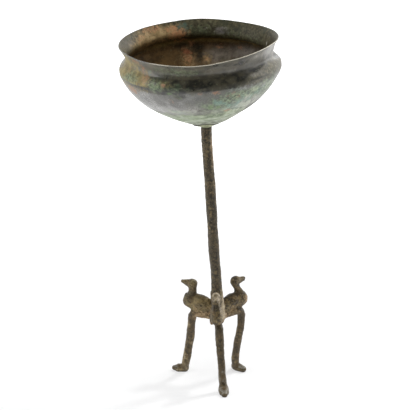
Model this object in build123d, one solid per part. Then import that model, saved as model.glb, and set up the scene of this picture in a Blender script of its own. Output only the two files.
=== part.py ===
from build123d import *
import os
from math import sin, cos, tan, radians, degrees, atan2, hypot, sqrt

# Bronze bowl on a tall leaning stem, carried by a tripod with a duck on each leg.
# Millimetres, +Z up, floor at Z = 0, viewer's side at -Y.
# The origin is the bottom centre of the whole object's box.

# ---------------------------------------------------------------- dimensions
HUB_X = 15.841           # hub axis to the origin, along X, at arm height
ARM_Z = 61.0             # height of the leg arms' centreline above the floor
LEAN_DEG = 3.5           # the stem leans to -X as it rises
BOWL_LEAN_DEG = 4.9      # the bowl sits on it with a little more lean

# bowl: raised from sheet, outer profile as (radius, height above its flat bottom)
SHEET = 1.3
BOWL_FLAT_R = 11.0
LOWER_BOWL = [(18.2, 3.0), (27.2, 7.9), (37.2, 14.0), (48.0, 21.1), (57.7, 29.2), (65.4, 38.0), (70.5, 45.9), (73.13, 51.8)]
SHOULDER = [(73.4, 54.6), (73.15, 57.2), (71.9, 59.9), (69.7, 62.5), (67.75, 64.6), (66.9, 66.9), (67.6, 69.4), (69.1, 71.8), (70.9, 74.9), (72.9, 78.4)]

# stem: distances along the leaning axis from arm height
STEM_FOOT_Z = 24.0       # stem shoulder on the hub's top
STEM_TOP_Z = 186.4       # shoulder under the collar
COLLAR_H = 2.9           # the bowl's underside is this far above the stem's shoulder
COLLAR_TOP_R = 11.3
STEM_R_LOW, STEM_R_MID, STEM_R_TOP = 4.8, 4.45, 4.6
TENON_R = 1.9            # upper end, through collar, bowl and rove
TANG_R = 3.0             # lower end, through the hub
PEEN_R, PEEN_H = 3.9, 2.0
TANG_PEEN_R, TANG_PEEN_H = 4.6, 1.8
ROVE_R, ROVE_T = 8.6, 1.5
PLAY = 0.03              # radial gap of the hammered joints

# hub: (radius, distance along the leaning axis)
HUB_BOTTOM_Z = -6.0
HUB_PROFILE = [(5.4, -6.0), (6.3, -4.8), (6.7, 0.0), (6.7, 10.0), (6.2, 17.0), (4.9, 24.0)]
LEG_TENON_R, LEG_TENON_IN = 2.2, 3.6   # tenon radius, and how near to the axis it ends

# legs and ducks: azimuth 0 points to -Y, positive turns towards +X
LEG_NAMES = ["front", "right", "left"]
DUCK_AZ = {"front": 2.5, "right": 126.0, "left": -112.0}
KNEE_R = {"front": 25.5, "right": 27.6, "left": 24.4}
LEG_R = {"front": 3.6, "right": 3.3, "left": 3.4}
ANKLE = {"front": (5.5, -35.7, 2.2), "right": (16.3, 15.2, 2.2), "left": (-29.5, 13.9, 2.2)}
FOOT_MID = {"front": (5.9, -39.6), "right": (20.4, 14.2), "left": (-34.4, 15.6)}
FOOT_AZ = {"front": 4.0, "right": 82.0, "left": -104.0}
# spade-shaped foot: (half length, half width, height, shift towards the heel) of its level sections
FOOT_LEVELS = [(8.0, 4.2, 0.0, 0.0), (8.4, 4.6, 1.3, 0.0), (7.1, 4.1, 3.4, 0.7), (4.2, 3.5, 5.6, 3.2)]
KNEE_BEND = 6.0
PEG_R, PEG_AT, PEG_DEPTH = 1.5, 16.5, 61.2   # duck's belly peg: radius, radial place, lowest height

# duck, in its own radial plane: x outward from the hub axis, z above the floor
DUCK_BODY = ((20.6, 71.9), 14.0, 7.2, 3.0)   # centre, half length, half thickness, nose-up tilt
DUCK_BREAST = ((27.3, 71.3), 7.3)
DUCK_NECK = [((26.2, 75.5), 5.2), ((25.2, 83.0), 3.6), ((24.2, 88.0), 3.7)]
DUCK_HEAD = ((23.7, 89.4), 4.7)
DUCK_BILL = [((24.6, 90.2), 3.7), ((35.0, 90.6), 1.5)]

# ---------------------------------------------------------------- helpers
AXIS = Location((HUB_X + 1.2, 0, ARM_Z), (0, -LEAN_DEG, 0))
SEAT = AXIS * Pos(0, 0, STEM_TOP_Z) * Rot(0, LEAN_DEG - BOWL_LEAN_DEG, 0)   # stem's shoulder, square to the bowl's axis


def lathe(face, at=AXIS):
    """A profile drawn in the XZ plane, turned about Z and set on a leaning axis."""
    return at * revolve(face, Axis.Z, 360)


def outline(*pts):
    return make_face(Polyline(*[(x, 0, z) for x, z in pts], close=True))


def along(p, d, shape_axis=Vector(0, 0, 1)):
    """Location that carries local +Z onto direction d at point p."""
    return Plane(origin=p, z_dir=d).location


def ellipsoid(centre, direction, a, b):
    """Ellipsoid of revolution, half length a along direction."""
    arc = EllipticalCenterArc((0, 0, 0), b, a, start_angle=-90, arc_size=180)
    face = make_face([arc, Line((0, a, 0), (0, -a, 0))])
    solid = revolve(Plane.XZ * face, Axis.Z, 360)
    return along(centre, direction) * solid


def frustum(p0, r0, p1, r1):
    p0, p1 = Vector(*p0), Vector(*p1)
    d = p1 - p0
    h = d.length
    face = outline((0, 0), (r0, 0), (r1, h), (0, h))
    return along(p0, d) * revolve(face, Axis.Z, 360)


def ball(p, r):
    return Pos(*p) * Sphere(r)


def radial(az, r, z):
    return (HUB_X + r * sin(radians(az)), -r * cos(radians(az)), z)


def offset_inside(pts, t):
    """Points moved by t to the left of the travel direction, which is the bowl's inside."""
    out = []
    for i, (x, z) in enumerate(pts):
        x0, z0 = pts[max(i - 1, 0)]
        x1, z1 = pts[min(i + 1, len(pts) - 1)]
        dx, dz = x1 - x0, z1 - z0
        n = hypot(dx, dz)
        out.append((x - dz / n * t, z + dx / n * t))
    return out


# ---------------------------------------------------------------- bowl and its fixing
lower_out = [(BOWL_FLAT_R, 0.0)] + LOWER_BOWL
upper_out = [LOWER_BOWL[-1]] + SHOULDER
whole = lower_out + SHOULDER
inner = offset_inside(whole, SHEET)
inner[0] = (BOWL_FLAT_R - 0.6, SHEET)
n_low = len(lower_out)
b0 = COLLAR_H


def curve(pts):
    return Spline(*[(x, 0, b0 + z) for x, z in pts])


hole_r = TENON_R + PLAY
bowl_face = make_face([
    Line((hole_r, 0, b0), (BOWL_FLAT_R, 0, b0)),
    curve(lower_out),
    curve(upper_out),
    Line((whole[-1][0], 0, b0 + whole[-1][1]), (inner[-1][0], 0, b0 + inner[-1][1])),
    curve(inner[n_low - 1:]),
    curve(inner[:n_low]),
    Line((inner[0][0], 0, b0 + inner[0][1]), (hole_r, 0, b0 + SHEET)),
    Line((hole_r, 0, b0 + SHEET), (hole_r, 0, b0)),
])
bowl = lathe(bowl_face, SEAT)

rove_z = b0 + SHEET
bowl_rove = lathe(outline((hole_r, rove_z), (ROVE_R, rove_z), (ROVE_R, rove_z + 0.7 * ROVE_T),
                          (ROVE_R - 0.9, rove_z + ROVE_T), (hole_r, rove_z + ROVE_T)), SEAT)

c0 = 0.0
bowl_seat_collar = lathe(outline((hole_r, c0), (STEM_R_TOP + 0.3, c0), (STEM_R_TOP + 1.4, c0 + 0.8),
                                 (STEM_R_TOP + 3.6, c0 + 1.8), (COLLAR_TOP_R - 0.5, c0 + 2.5),
                                 (COLLAR_TOP_R, b0 - 0.2), (COLLAR_TOP_R - 0.3, b0), (hole_r, b0)), SEAT)

# ---------------------------------------------------------------- stem
peen_z = rove_z + ROVE_T
stem_face = outline(
    (0, HUB_BOTTOM_Z - TANG_PEEN_H), (0.55 * TANG_PEEN_R, HUB_BOTTOM_Z - 0.92 * TANG_PEEN_H),
    (TANG_PEEN_R, HUB_BOTTOM_Z - 0.4 * TANG_PEEN_H), (TANG_PEEN_R, HUB_BOTTOM_Z),
    (TANG_R, HUB_BOTTOM_Z), (TANG_R, STEM_FOOT_Z), (STEM_R_LOW, STEM_FOOT_Z),
    (STEM_R_LOW - 0.15, STEM_FOOT_Z + 14), (STEM_R_MID, STEM_FOOT_Z + 40), (STEM_R_MID, STEM_FOOT_Z + 90),
    (STEM_R_TOP, STEM_TOP_Z), (STEM_R_TOP, STEM_TOP_Z + 1), (0, STEM_TOP_Z + 1))
tenon_face = outline(
    (0, c0 - 4), (TENON_R, c0 - 4), (TENON_R, peen_z), (PEEN_R, peen_z), (PEEN_R, peen_z + 0.45 * PEEN_H),
    (0.6 * PEEN_R, peen_z + 0.9 * PEEN_H), (0, peen_z + PEEN_H))
stem = lathe(stem_face) - SEAT * Pos(0, 0, 10) * Box(60, 60, 20) + lathe(tenon_face, SEAT)

# ---------------------------------------------------------------- hub
hub_skin = lathe(make_face([
    Line((0, 0, HUB_BOTTOM_Z), (HUB_PROFILE[0][0], 0, HUB_BOTTOM_Z)),
    Spline(*[(r, 0, z) for r, z in HUB_PROFILE]),
    Line((HUB_PROFILE[-1][0], 0, STEM_FOOT_Z), (0, 0, STEM_FOOT_Z)),
    Line((0, 0, STEM_FOOT_Z), (0, 0, HUB_BOTTOM_Z)),
]))
tripod_hub = hub_skin - AXIS * Pos(0, 0, (STEM_FOOT_Z + HUB_BOTTOM_Z) / 2) * Cylinder(TANG_R + PLAY, STEM_FOOT_Z - HUB_BOTTOM_Z + 2)

# ---------------------------------------------------------------- legs, feet and ducks
parts = {"bowl": bowl, "bowl_rove": bowl_rove, "bowl_seat_collar": bowl_seat_collar, "stem": stem}
for name in LEG_NAMES:
    az = DUCK_AZ[name]
    out_dir = Vector(sin(radians(az)), -cos(radians(az)), 0)
    knee = radial(az, KNEE_R[name], ARM_Z)
    ax, ay, az_h = ANKLE[name]
    ankle = (HUB_X + ax, ay, az_h)
    root = radial(az, 2.0, ARM_Z)
    rod_r = LEG_R[name]

    path = FilletPolyline(root, knee, ankle, radius=KNEE_BEND)
    section = Plane(origin=root, z_dir=out_dir) * Circle(rod_r)
    rod = sweep(section, path=path)

    fx, fy = FOOT_MID[name]
    fa = radians(FOOT_AZ[name])
    levels = []
    for a, b, z, back in FOOT_LEVELS:
        mid = (HUB_X + fx - back * sin(fa), fy + back * cos(fa), z)
        levels.append(Plane(origin=mid, x_dir=(sin(fa), -cos(fa), 0), z_dir=(0, 0, 1)) * Ellipse(a, b))
    leg = rod + loft(levels, ruled=True) - hub_skin

    # tenon in the hub's wall, along the arm
    tenon_dir = Vector(*knee) - Vector(*root)
    start = radial(az, LEG_TENON_IN + 0.6, ARM_Z)
    stop = radial(az, 12.0, ARM_Z)
    tenon = frustum(start, LEG_TENON_R, stop, LEG_TENON_R)
    tripod_hub = tripod_hub - frustum(start, LEG_TENON_R + PLAY, stop, LEG_TENON_R + PLAY)
    leg = leg + tenon

    # duck on the arm: body, breast, neck, head and bill cast as one
    (bx, bz), ba, bb, tilt = DUCK_BODY
    up = Vector(0, 0, 1)
    body = ellipsoid(radial(az, bx, bz), out_dir * cos(radians(tilt)) + up * sin(radians(tilt)), ba, bb)
    (cx, cz), cr = DUCK_BREAST
    duck = body + ball(radial(az, cx, cz), cr)
    for (p0, r0), (p1, r1) in zip(DUCK_NECK, DUCK_NECK[1:]):
        duck = duck + frustum(radial(az, *p0), r0, radial(az, *p1), r1)
    (hx, hz), hr = DUCK_HEAD
    duck = duck + ball(radial(az, hx, hz), hr)
    (p0, r0), (p1, r1) = DUCK_BILL
    duck = duck + frustum(radial(az, *p0), r0, radial(az, *p1), r1) + ball(radial(az, *p1), r1)

    # saddle over the arm, and the belly peg in a blind hole of the arm
    arm_run = frustum(radial(az, 0.5, ARM_Z), rod_r, radial(az, KNEE_R[name] - KNEE_BEND, ARM_Z), rod_r)
    duck = duck - rod - arm_run - hub_skin
    peg = frustum(radial(az, PEG_AT, PEG_DEPTH), PEG_R, radial(az, PEG_AT, 70.0), PEG_R)
    leg = leg - frustum(radial(az, PEG_AT, PEG_DEPTH), PEG_R + PLAY, radial(az, PEG_AT, 70.0), PEG_R + PLAY)
    duck = duck + peg
    parts["leg_" + name] = leg
    parts["duck_" + name] = duck
parts["tripod_hub"] = tripod_hub

# ---------------------------------------------------------------- export
os.makedirs("parts", exist_ok=True)
lo = [1e9] * 3
hi = [-1e9] * 3
for node, shape in parts.items():
    export_step(shape, f"parts/{node}.step")
    box = shape.bounding_box()
    lo = [min(a, b) for a, b in zip(lo, tuple(box.min))]
    hi = [max(a, b) for a, b in zip(hi, tuple(box.max))]
    print(node, len(shape.solids()), "solids", round(shape.volume, 1), "mm3", "valid", shape.is_valid)
print("box", [round(v, 3) for v in lo], [round(v, 3) for v in hi],
      "centre", [round((a + b) / 2, 3) for a, b in zip(lo, hi)])
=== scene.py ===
import itertools
import math

import bpy
import numpy as np
from mathutils import Matrix, Vector


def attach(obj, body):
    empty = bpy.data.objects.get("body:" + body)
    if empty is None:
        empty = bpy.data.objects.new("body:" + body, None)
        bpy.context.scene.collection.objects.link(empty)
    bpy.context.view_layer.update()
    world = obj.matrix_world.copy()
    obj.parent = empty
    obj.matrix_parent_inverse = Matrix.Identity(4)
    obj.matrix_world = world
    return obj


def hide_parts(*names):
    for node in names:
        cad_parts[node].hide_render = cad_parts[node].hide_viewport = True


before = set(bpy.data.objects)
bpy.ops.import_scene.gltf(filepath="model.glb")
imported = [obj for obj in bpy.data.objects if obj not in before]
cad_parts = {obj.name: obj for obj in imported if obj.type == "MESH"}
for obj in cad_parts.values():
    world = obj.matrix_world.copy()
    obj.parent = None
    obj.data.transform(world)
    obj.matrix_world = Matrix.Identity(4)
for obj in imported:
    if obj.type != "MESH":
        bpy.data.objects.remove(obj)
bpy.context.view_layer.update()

# A bronze bowl on a tall stem with a tripod of three duck legs. Shapes are worked out in millimetres in the row frame
# and turned into metres when a mesh is made.
HUB_X = 15.841
ARM_Z = 61.0
LEAN = math.radians(3.5)
BOWL_LEAN = math.radians(4.9)
STEM_TOP, COLLAR_H = 186.4, 2.9
STEM_UP = np.array([-math.sin(LEAN), 0.0, math.cos(LEAN)])
STEM_RT = np.array([math.cos(LEAN), 0.0, math.sin(LEAN)])
BOWL_UP = np.array([-math.sin(BOWL_LEAN), 0.0, math.cos(BOWL_LEAN)])
BOWL_RT = np.array([math.cos(BOWL_LEAN), 0.0, math.sin(BOWL_LEAN)])
BOWL_BK = np.array([0.0, 1.0, 0.0])
AXIS0 = np.array([HUB_X + 1.2, 0.0, ARM_Z])
SEAT = AXIS0 + STEM_TOP * STEM_UP
BASE = SEAT + COLLAR_H * BOWL_UP


# ---------------------------------------------------------------- noise
def _hash(ix, iy, iz, seed):
    n = (
        ix.astype(np.uint32) * np.uint32(374761393)
        + iy.astype(np.uint32) * np.uint32(668265263)
        + iz.astype(np.uint32) * np.uint32(2246822519)
        + np.uint32((seed * 3266489917 + 97) & 0xFFFFFFFF)
    )
    n = (n ^ (n >> np.uint32(15))) * np.uint32(2246822519)
    n = (n ^ (n >> np.uint32(13))) * np.uint32(3266489917)
    n = n ^ (n >> np.uint32(16))
    return n.astype(np.float64) / 4294967295.0


def vnoise(p, scale, seed=0):
    q = np.asarray(p, float) / scale
    i = np.floor(q).astype(np.int64)
    f = q - i
    u = f * f * f * (f * (f * 6 - 15) + 10)
    out = np.zeros(len(q))
    for d in itertools.product((0, 1), repeat=3):
        w = np.ones(len(q))
        for a in range(3):
            w = w * (u[:, a] if d[a] else 1 - u[:, a])
        out += w * _hash(i[:, 0] + d[0], i[:, 1] + d[1], i[:, 2] + d[2], seed)
    return out * 2 - 1


TURN = np.array([[0.0, 0.8, 0.6], [-0.8, 0.36, -0.48], [-0.6, -0.48, 0.64]])


def fbm(p, scale, octaves=4, seed=0, gain=0.5):
    """Sum of noises, turned from one octave to the next."""
    out, amp, total, q = np.zeros(len(p)), 1.0, 0.0, np.asarray(p, float)
    for o in range(octaves):
        q = q @ TURN.T
        out += amp * vnoise(q, scale / 2**o, seed + 31 * o)
        total += amp
        amp *= gain
    return out / total


def cells(p, scale, seed=0):
    q = np.asarray(p, float) / scale
    i = np.floor(q).astype(np.int64)
    best = np.full(len(q), 9.0)
    for d in itertools.product((-1, 0, 1), repeat=3):
        c = i + np.array(d)
        off = np.stack([_hash(c[:, 0], c[:, 1], c[:, 2], seed + k) for k in range(3)], 1)
        best = np.minimum(best, ((q - c - off) ** 2).sum(1))
    return np.sqrt(best)


def step(a, b, x):
    t = np.clip((np.asarray(x, float) - a) / (b - a), 0, 1)
    return t * t * (3 - 2 * t)


def spline(pts, n):
    """n points, evenly spaced by length, on a centripetal Catmull-Rom curve through pts."""
    p = np.asarray(pts, float)
    p = np.vstack([2 * p[0] - p[1], p, 2 * p[-1] - p[-2]])
    out = []
    for k in range(1, len(p) - 2):
        p0, p1, p2, p3 = p[k - 1 : k + 3]
        t0 = 0.0
        t1 = t0 + max(np.linalg.norm(p1[:3] - p0[:3]), 1e-6) ** 0.5
        t2 = t1 + max(np.linalg.norm(p2[:3] - p1[:3]), 1e-6) ** 0.5
        t3 = t2 + max(np.linalg.norm(p3[:3] - p2[:3]), 1e-6) ** 0.5
        t = np.linspace(t1, t2, 24, endpoint=False)[:, None]
        a1 = (t1 - t) / (t1 - t0) * p0 + (t - t0) / (t1 - t0) * p1
        a2 = (t2 - t) / (t2 - t1) * p1 + (t - t1) / (t2 - t1) * p2
        a3 = (t3 - t) / (t3 - t2) * p2 + (t - t2) / (t3 - t2) * p3
        b1 = (t2 - t) / (t2 - t0) * a1 + (t - t0) / (t2 - t0) * a2
        b2 = (t3 - t) / (t3 - t1) * a2 + (t - t1) / (t3 - t1) * a3
        out.append((t2 - t) / (t2 - t1) * b1 + (t - t1) / (t2 - t1) * b2)
    out = np.vstack(out + [p[-2:-1]])
    s = np.concatenate([[0], np.cumsum(np.linalg.norm(np.diff(out[:, :3], axis=0), axis=1))])
    at = np.linspace(0, s[-1], n)
    return np.stack([np.interp(at, s, out[:, k]) for k in range(out.shape[1])], 1)


# ---------------------------------------------------------------- meshes
def make(name, verts, faces, node, material, masks, second=None, on_second=None):
    me = bpy.data.meshes.new(name)
    me.from_pydata((np.asarray(verts) / 1000.0).tolist(), [], faces if isinstance(faces, list) else faces.tolist())
    me.validate()
    me.polygons.foreach_set("use_smooth", [True] * len(me.polygons))
    for key, values in masks.items():
        att = me.attributes.new(key, "FLOAT", "POINT")
        att.data.foreach_set("value", np.asarray(values, np.float32))
    me.update()
    ob = bpy.data.objects.new(name, me)
    bpy.context.scene.collection.objects.link(ob)
    me.materials.append(material)
    if second is not None:
        me.materials.append(second)
        me.polygons.foreach_set("material_index", np.asarray(on_second, np.int32))
        me.update()
    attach(ob, "root")
    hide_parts(node)
    return ob


def grid_faces(nu, nv, wrap_u=True, wrap_v=True):
    """Quads over a grid of nv rings with nu points each, row-major by ring."""
    u = np.arange(nu if wrap_u else nu - 1)
    v = np.arange(nv if wrap_v else nv - 1)
    uu, vv = np.meshgrid(u, v)
    a = vv * nu + uu
    b = vv * nu + (uu + 1) % nu
    c = (vv + 1) % nv * nu + (uu + 1) % nu
    d = (vv + 1) % nv * nu + uu
    return np.stack([a, b, c, d], -1).reshape(-1, 4)


def ring_normals(verts, nu, nv):
    """Normals of a grid that wraps both ways, pointing along du x dv."""
    p = verts.reshape(nv, nu, 3)
    du = np.roll(p, -1, 1) - np.roll(p, 1, 1)
    dv = np.roll(p, -1, 0) - np.roll(p, 1, 0)
    n = np.cross(du, dv)
    n /= np.maximum(np.linalg.norm(n, axis=2, keepdims=True), 1e-9)
    return n.reshape(-1, 3)


# ---------------------------------------------------------------- signed distance shapes
def sd_cone(p, a, b, ra, rb):
    """Round cone between two spheres."""
    a, b = np.asarray(a, float), np.asarray(b, float)
    ba = b - a
    t = np.clip(((p - a) @ ba) / max(ba @ ba, 1e-9), 0, 1)
    return np.linalg.norm(p - a - t[:, None] * ba, axis=1) - (ra + (rb - ra) * t)


def sd_tube(p, pts):
    """Chain of round cones through (x, y, z, r) points."""
    d = np.full(len(p), 1e3)
    for a, b in zip(pts[:-1], pts[1:]):
        d = np.minimum(d, sd_cone(p, a[:3], b[:3], a[3], b[3]))
    return d


def sd_ball(p, c, radii, axes=None):
    """Ellipsoid; axes are three unit rows."""
    q = p - np.asarray(c, float)
    if axes is not None:
        q = q @ np.asarray(axes).T
    r = np.asarray(radii, float)
    k0 = np.linalg.norm(q / r, axis=1)
    k1 = np.linalg.norm(q / (r * r), axis=1)
    return k0 * (k0 - 1.0) / np.maximum(k1, 1e-9)


def smin(a, b, k):
    h = np.clip(0.5 + 0.5 * (b - a) / k, 0, 1)
    return b + (a - b) * h - k * h * (1 - h)


def nets(f, lo, hi, h):
    """Surface nets of the zero level of f over a box."""
    n = np.ceil((np.asarray(hi) - lo) / h).astype(int) + 1
    ax = [lo[k] + h * np.arange(n[k]) for k in range(3)]
    val = np.empty(n)
    for i in range(0, n[0], 8):
        g = np.stack(np.meshgrid(ax[0][i : i + 8], ax[1], ax[2], indexing="ij"), -1)
        val[i : i + 8] = f(g.reshape(-1, 3)).reshape(g.shape[:3])
    ins = val < 0
    m = n - 1
    acc = np.zeros((*m, 3))
    cnt = np.zeros(m)
    corner = list(itertools.product((0, 1), repeat=3))

    def at(arr, c):
        return arr[c[0] : c[0] + m[0], c[1] : c[1] + m[1], c[2] : c[2] + m[2]]

    for ca in corner:
        for k in range(3):
            if ca[k]:
                continue
            cb = list(ca)
            cb[k] = 1
            fa, fb = at(val, ca), at(val, cb)
            x = at(ins, ca) != at(ins, cb)
            t = np.where(x, fa / np.where(x, fa - fb, 1), 0)
            for j in range(3):
                acc[..., j] += np.where(x, ca[j] + (t if j == k else 0), 0)
            cnt += x
    on = cnt > 0
    idx = np.full(m, -1)
    idx[on] = np.arange(on.sum())
    cell = np.argwhere(on)
    verts = (acc[on] / cnt[on][:, None] + cell) * h + lo
    faces = []
    for k in range(3):
        j, l = (k + 1) % 3, (k + 2) % 3
        sa = [slice(1, m[0]), slice(1, m[1]), slice(1, m[2])]
        sb = list(sa)
        sa[k], sb[k] = slice(0, m[k]), slice(1, m[k] + 1)
        a, b = ins[tuple(sa)], ins[tuple(sb)]

        def cellat(dj, dl):
            s = [None] * 3
            s[k] = slice(0, m[k])
            s[j] = slice(1 - dj, m[j] - dj)
            s[l] = slice(1 - dl, m[l] - dl)
            return idx[tuple(s)]

        q = np.stack([cellat(1, 1), cellat(0, 1), cellat(0, 0), cellat(1, 0)], -1)
        faces.append(q[a & ~b])
        faces.append(q[~a & b][:, ::-1])
    return verts, np.vstack(faces)


def gradient(f, p, e=0.05):
    g = np.stack([f(p + e * np.eye(3)[k]) - f(p - e * np.eye(3)[k]) for k in range(3)], 1)
    return g / np.maximum(np.linalg.norm(g, axis=1, keepdims=True), 1e-9)


def carve(f, lo, hi, h, rough):
    """Meshes f, settles the points on it and then roughens it by rough(points, normals), in mm along the normal."""
    v, q = nets(f, np.asarray(lo, float), np.asarray(hi, float), h)
    for _ in range(2):
        v = v - np.clip(f(v), -0.3, 0.3)[:, None] * gradient(f, v)
    n = gradient(f, v)
    keep = v[:, 2] < 0.05
    d = rough(v, n)
    v = v + np.where(keep, 0, d)[:, None] * n
    v[:, 2] = np.maximum(v[:, 2], 0.0)
    return v, q, n


# ---------------------------------------------------------------- materials
def lin(r, g, b):
    def one(c):
        c /= 255.0
        return c / 12.92 if c <= 0.04045 else ((c + 0.055) / 1.055) ** 2.4

    return (one(r), one(g), one(b), 1.0)


class Look:
    """A Principled material whose colour, roughness and bump are built up in layers."""

    def __init__(self, name, ior=1.6):
        self.mat = bpy.data.materials.new(name)
        self.mat.use_nodes = True
        self.nt = self.mat.node_tree
        self.nt.nodes.clear()
        self.out = self.nt.nodes.new("ShaderNodeOutputMaterial")
        self.bsdf = self.nt.nodes.new("ShaderNodeBsdfPrincipled")
        self.bsdf.inputs["IOR"].default_value = ior
        self.nt.links.new(self.bsdf.outputs[0], self.out.inputs[0])
        self.tc = self.nt.nodes.new("ShaderNodeTexCoord").outputs["Object"]
        self.color = None
        self.rough = None
        self.shine = 0.5
        self.height = None

    def link(self, a, b):
        self.nt.links.new(a, b)

    def noise(self, mm, detail=4.0, rough=0.55, seed=0.0, stretch=None, distortion=0.0):
        """Noise with features about mm across."""
        vec = self.tc
        if stretch is not None or seed:
            mp = self.nt.nodes.new("ShaderNodeMapping")
            mp.inputs["Location"].default_value = (seed * 0.731, seed * 1.317, seed * 0.467)
            if stretch is not None:
                mp.inputs["Scale"].default_value = stretch
            self.link(vec, mp.inputs["Vector"])
            vec = mp.outputs[0]
        n = self.nt.nodes.new("ShaderNodeTexNoise")
        n.inputs["Scale"].default_value = 1000.0 / mm
        n.inputs["Detail"].default_value = detail
        n.inputs["Roughness"].default_value = rough
        n.inputs["Distortion"].default_value = distortion
        self.link(vec, n.inputs["Vector"])
        return n.outputs["Fac"]

    def cell(self, mm, seed=0.0, feature="F1"):
        mp = self.nt.nodes.new("ShaderNodeMapping")
        mp.inputs["Location"].default_value = (seed * 0.531, seed * 0.917, seed * 0.267)
        self.link(self.tc, mp.inputs["Vector"])
        n = self.nt.nodes.new("ShaderNodeTexVoronoi")
        n.feature = feature
        n.inputs["Scale"].default_value = 1000.0 / mm
        self.link(mp.outputs[0], n.inputs["Vector"])
        return n.outputs["Distance"]

    def mask(self, key):
        n = self.nt.nodes.new("ShaderNodeAttribute")
        n.attribute_name = key
        return n.outputs["Fac"]

    def math(self, op, a, b=None, c=None, clamp=False):
        n = self.nt.nodes.new("ShaderNodeMath")
        n.operation = op
        n.use_clamp = clamp
        for k, v in enumerate((a, b, c)):
            if v is None:
                continue
            if isinstance(v, (int, float)):
                n.inputs[k].default_value = v
            else:
                self.link(v, n.inputs[k])
        return n.outputs[0]

    def ramp(self, x, lo, hi, to_lo=0.0, to_hi=1.0):
        n = self.nt.nodes.new("ShaderNodeMapRange")
        n.interpolation_type = "SMOOTHSTEP"
        for k, v in ((1, lo), (2, hi), (3, to_lo), (4, to_hi)):
            n.inputs[k].default_value = v
        self.link(x, n.inputs[0])
        return n.outputs[0]

    def mix(self, fac, a, b):
        n = self.nt.nodes.new("ShaderNodeMix")
        n.data_type = "RGBA"
        self.link(fac, n.inputs[0])
        for k, v in ((6, a), (7, b)):
            if isinstance(v, tuple):
                n.inputs[k].default_value = v
            else:
                self.link(v, n.inputs[k])
        return n.outputs[2]

    def mixf(self, fac, a, b):
        n = self.nt.nodes.new("ShaderNodeMix")
        n.data_type = "FLOAT"
        self.link(fac, n.inputs[0])
        for k, v in ((2, a), (3, b)):
            if isinstance(v, (int, float)):
                n.inputs[k].default_value = v
            else:
                self.link(v, n.inputs[k])
        return n.outputs[0]

    def base(self, dark, light, fac, rough):
        self.color = self.mix(fac, dark, light)
        self.rough = rough

    def layer(self, fac, color, rough=None, strength=1.0, shine=None):
        if strength != 1.0:
            fac = self.math("MULTIPLY", fac, strength)
        self.color = self.mix(fac, self.color, color)
        if rough is not None:
            self.rough = self.mixf(fac, self.rough, rough)
        if shine is not None:
            self.shine = self.mixf(fac, self.shine, shine)
        return fac

    def patch(self, key, grain, lo=0.2, hi=0.85, amp=0.8):
        """Ragged, mottled coverage of a vertex mask: the grain eats into it, and nothing shows where the mask is 0."""
        m = self.mask(key)
        g = self.math("MULTIPLY", self.math("SUBTRACT", grain, 0.5), amp * 2)
        x = self.math("MULTIPLY_ADD", g, self.math("MULTIPLY", m, 3.0, clamp=True), m)
        return self.ramp(x, lo, hi)

    def raise_(self, fac, mm):
        h = self.math("MULTIPLY", fac, mm / 1000.0)
        self.height = h if self.height is None else self.math("ADD", self.height, h)

    def done(self):
        self.link(self.color, self.bsdf.inputs["Base Color"])
        if isinstance(self.rough, (int, float)):
            self.bsdf.inputs["Roughness"].default_value = self.rough
        else:
            self.link(self.rough, self.bsdf.inputs["Roughness"])
        if not isinstance(self.shine, float):
            self.link(self.shine, self.bsdf.inputs["Specular IOR Level"])
        if self.height is not None:
            b = self.nt.nodes.new("ShaderNodeBump")
            b.inputs["Strength"].default_value = 1.0
            b.inputs["Distance"].default_value = 1.0
            self.link(self.height, b.inputs["Height"])
            self.link(b.outputs[0], self.bsdf.inputs["Normal"])
        return self.mat


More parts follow.
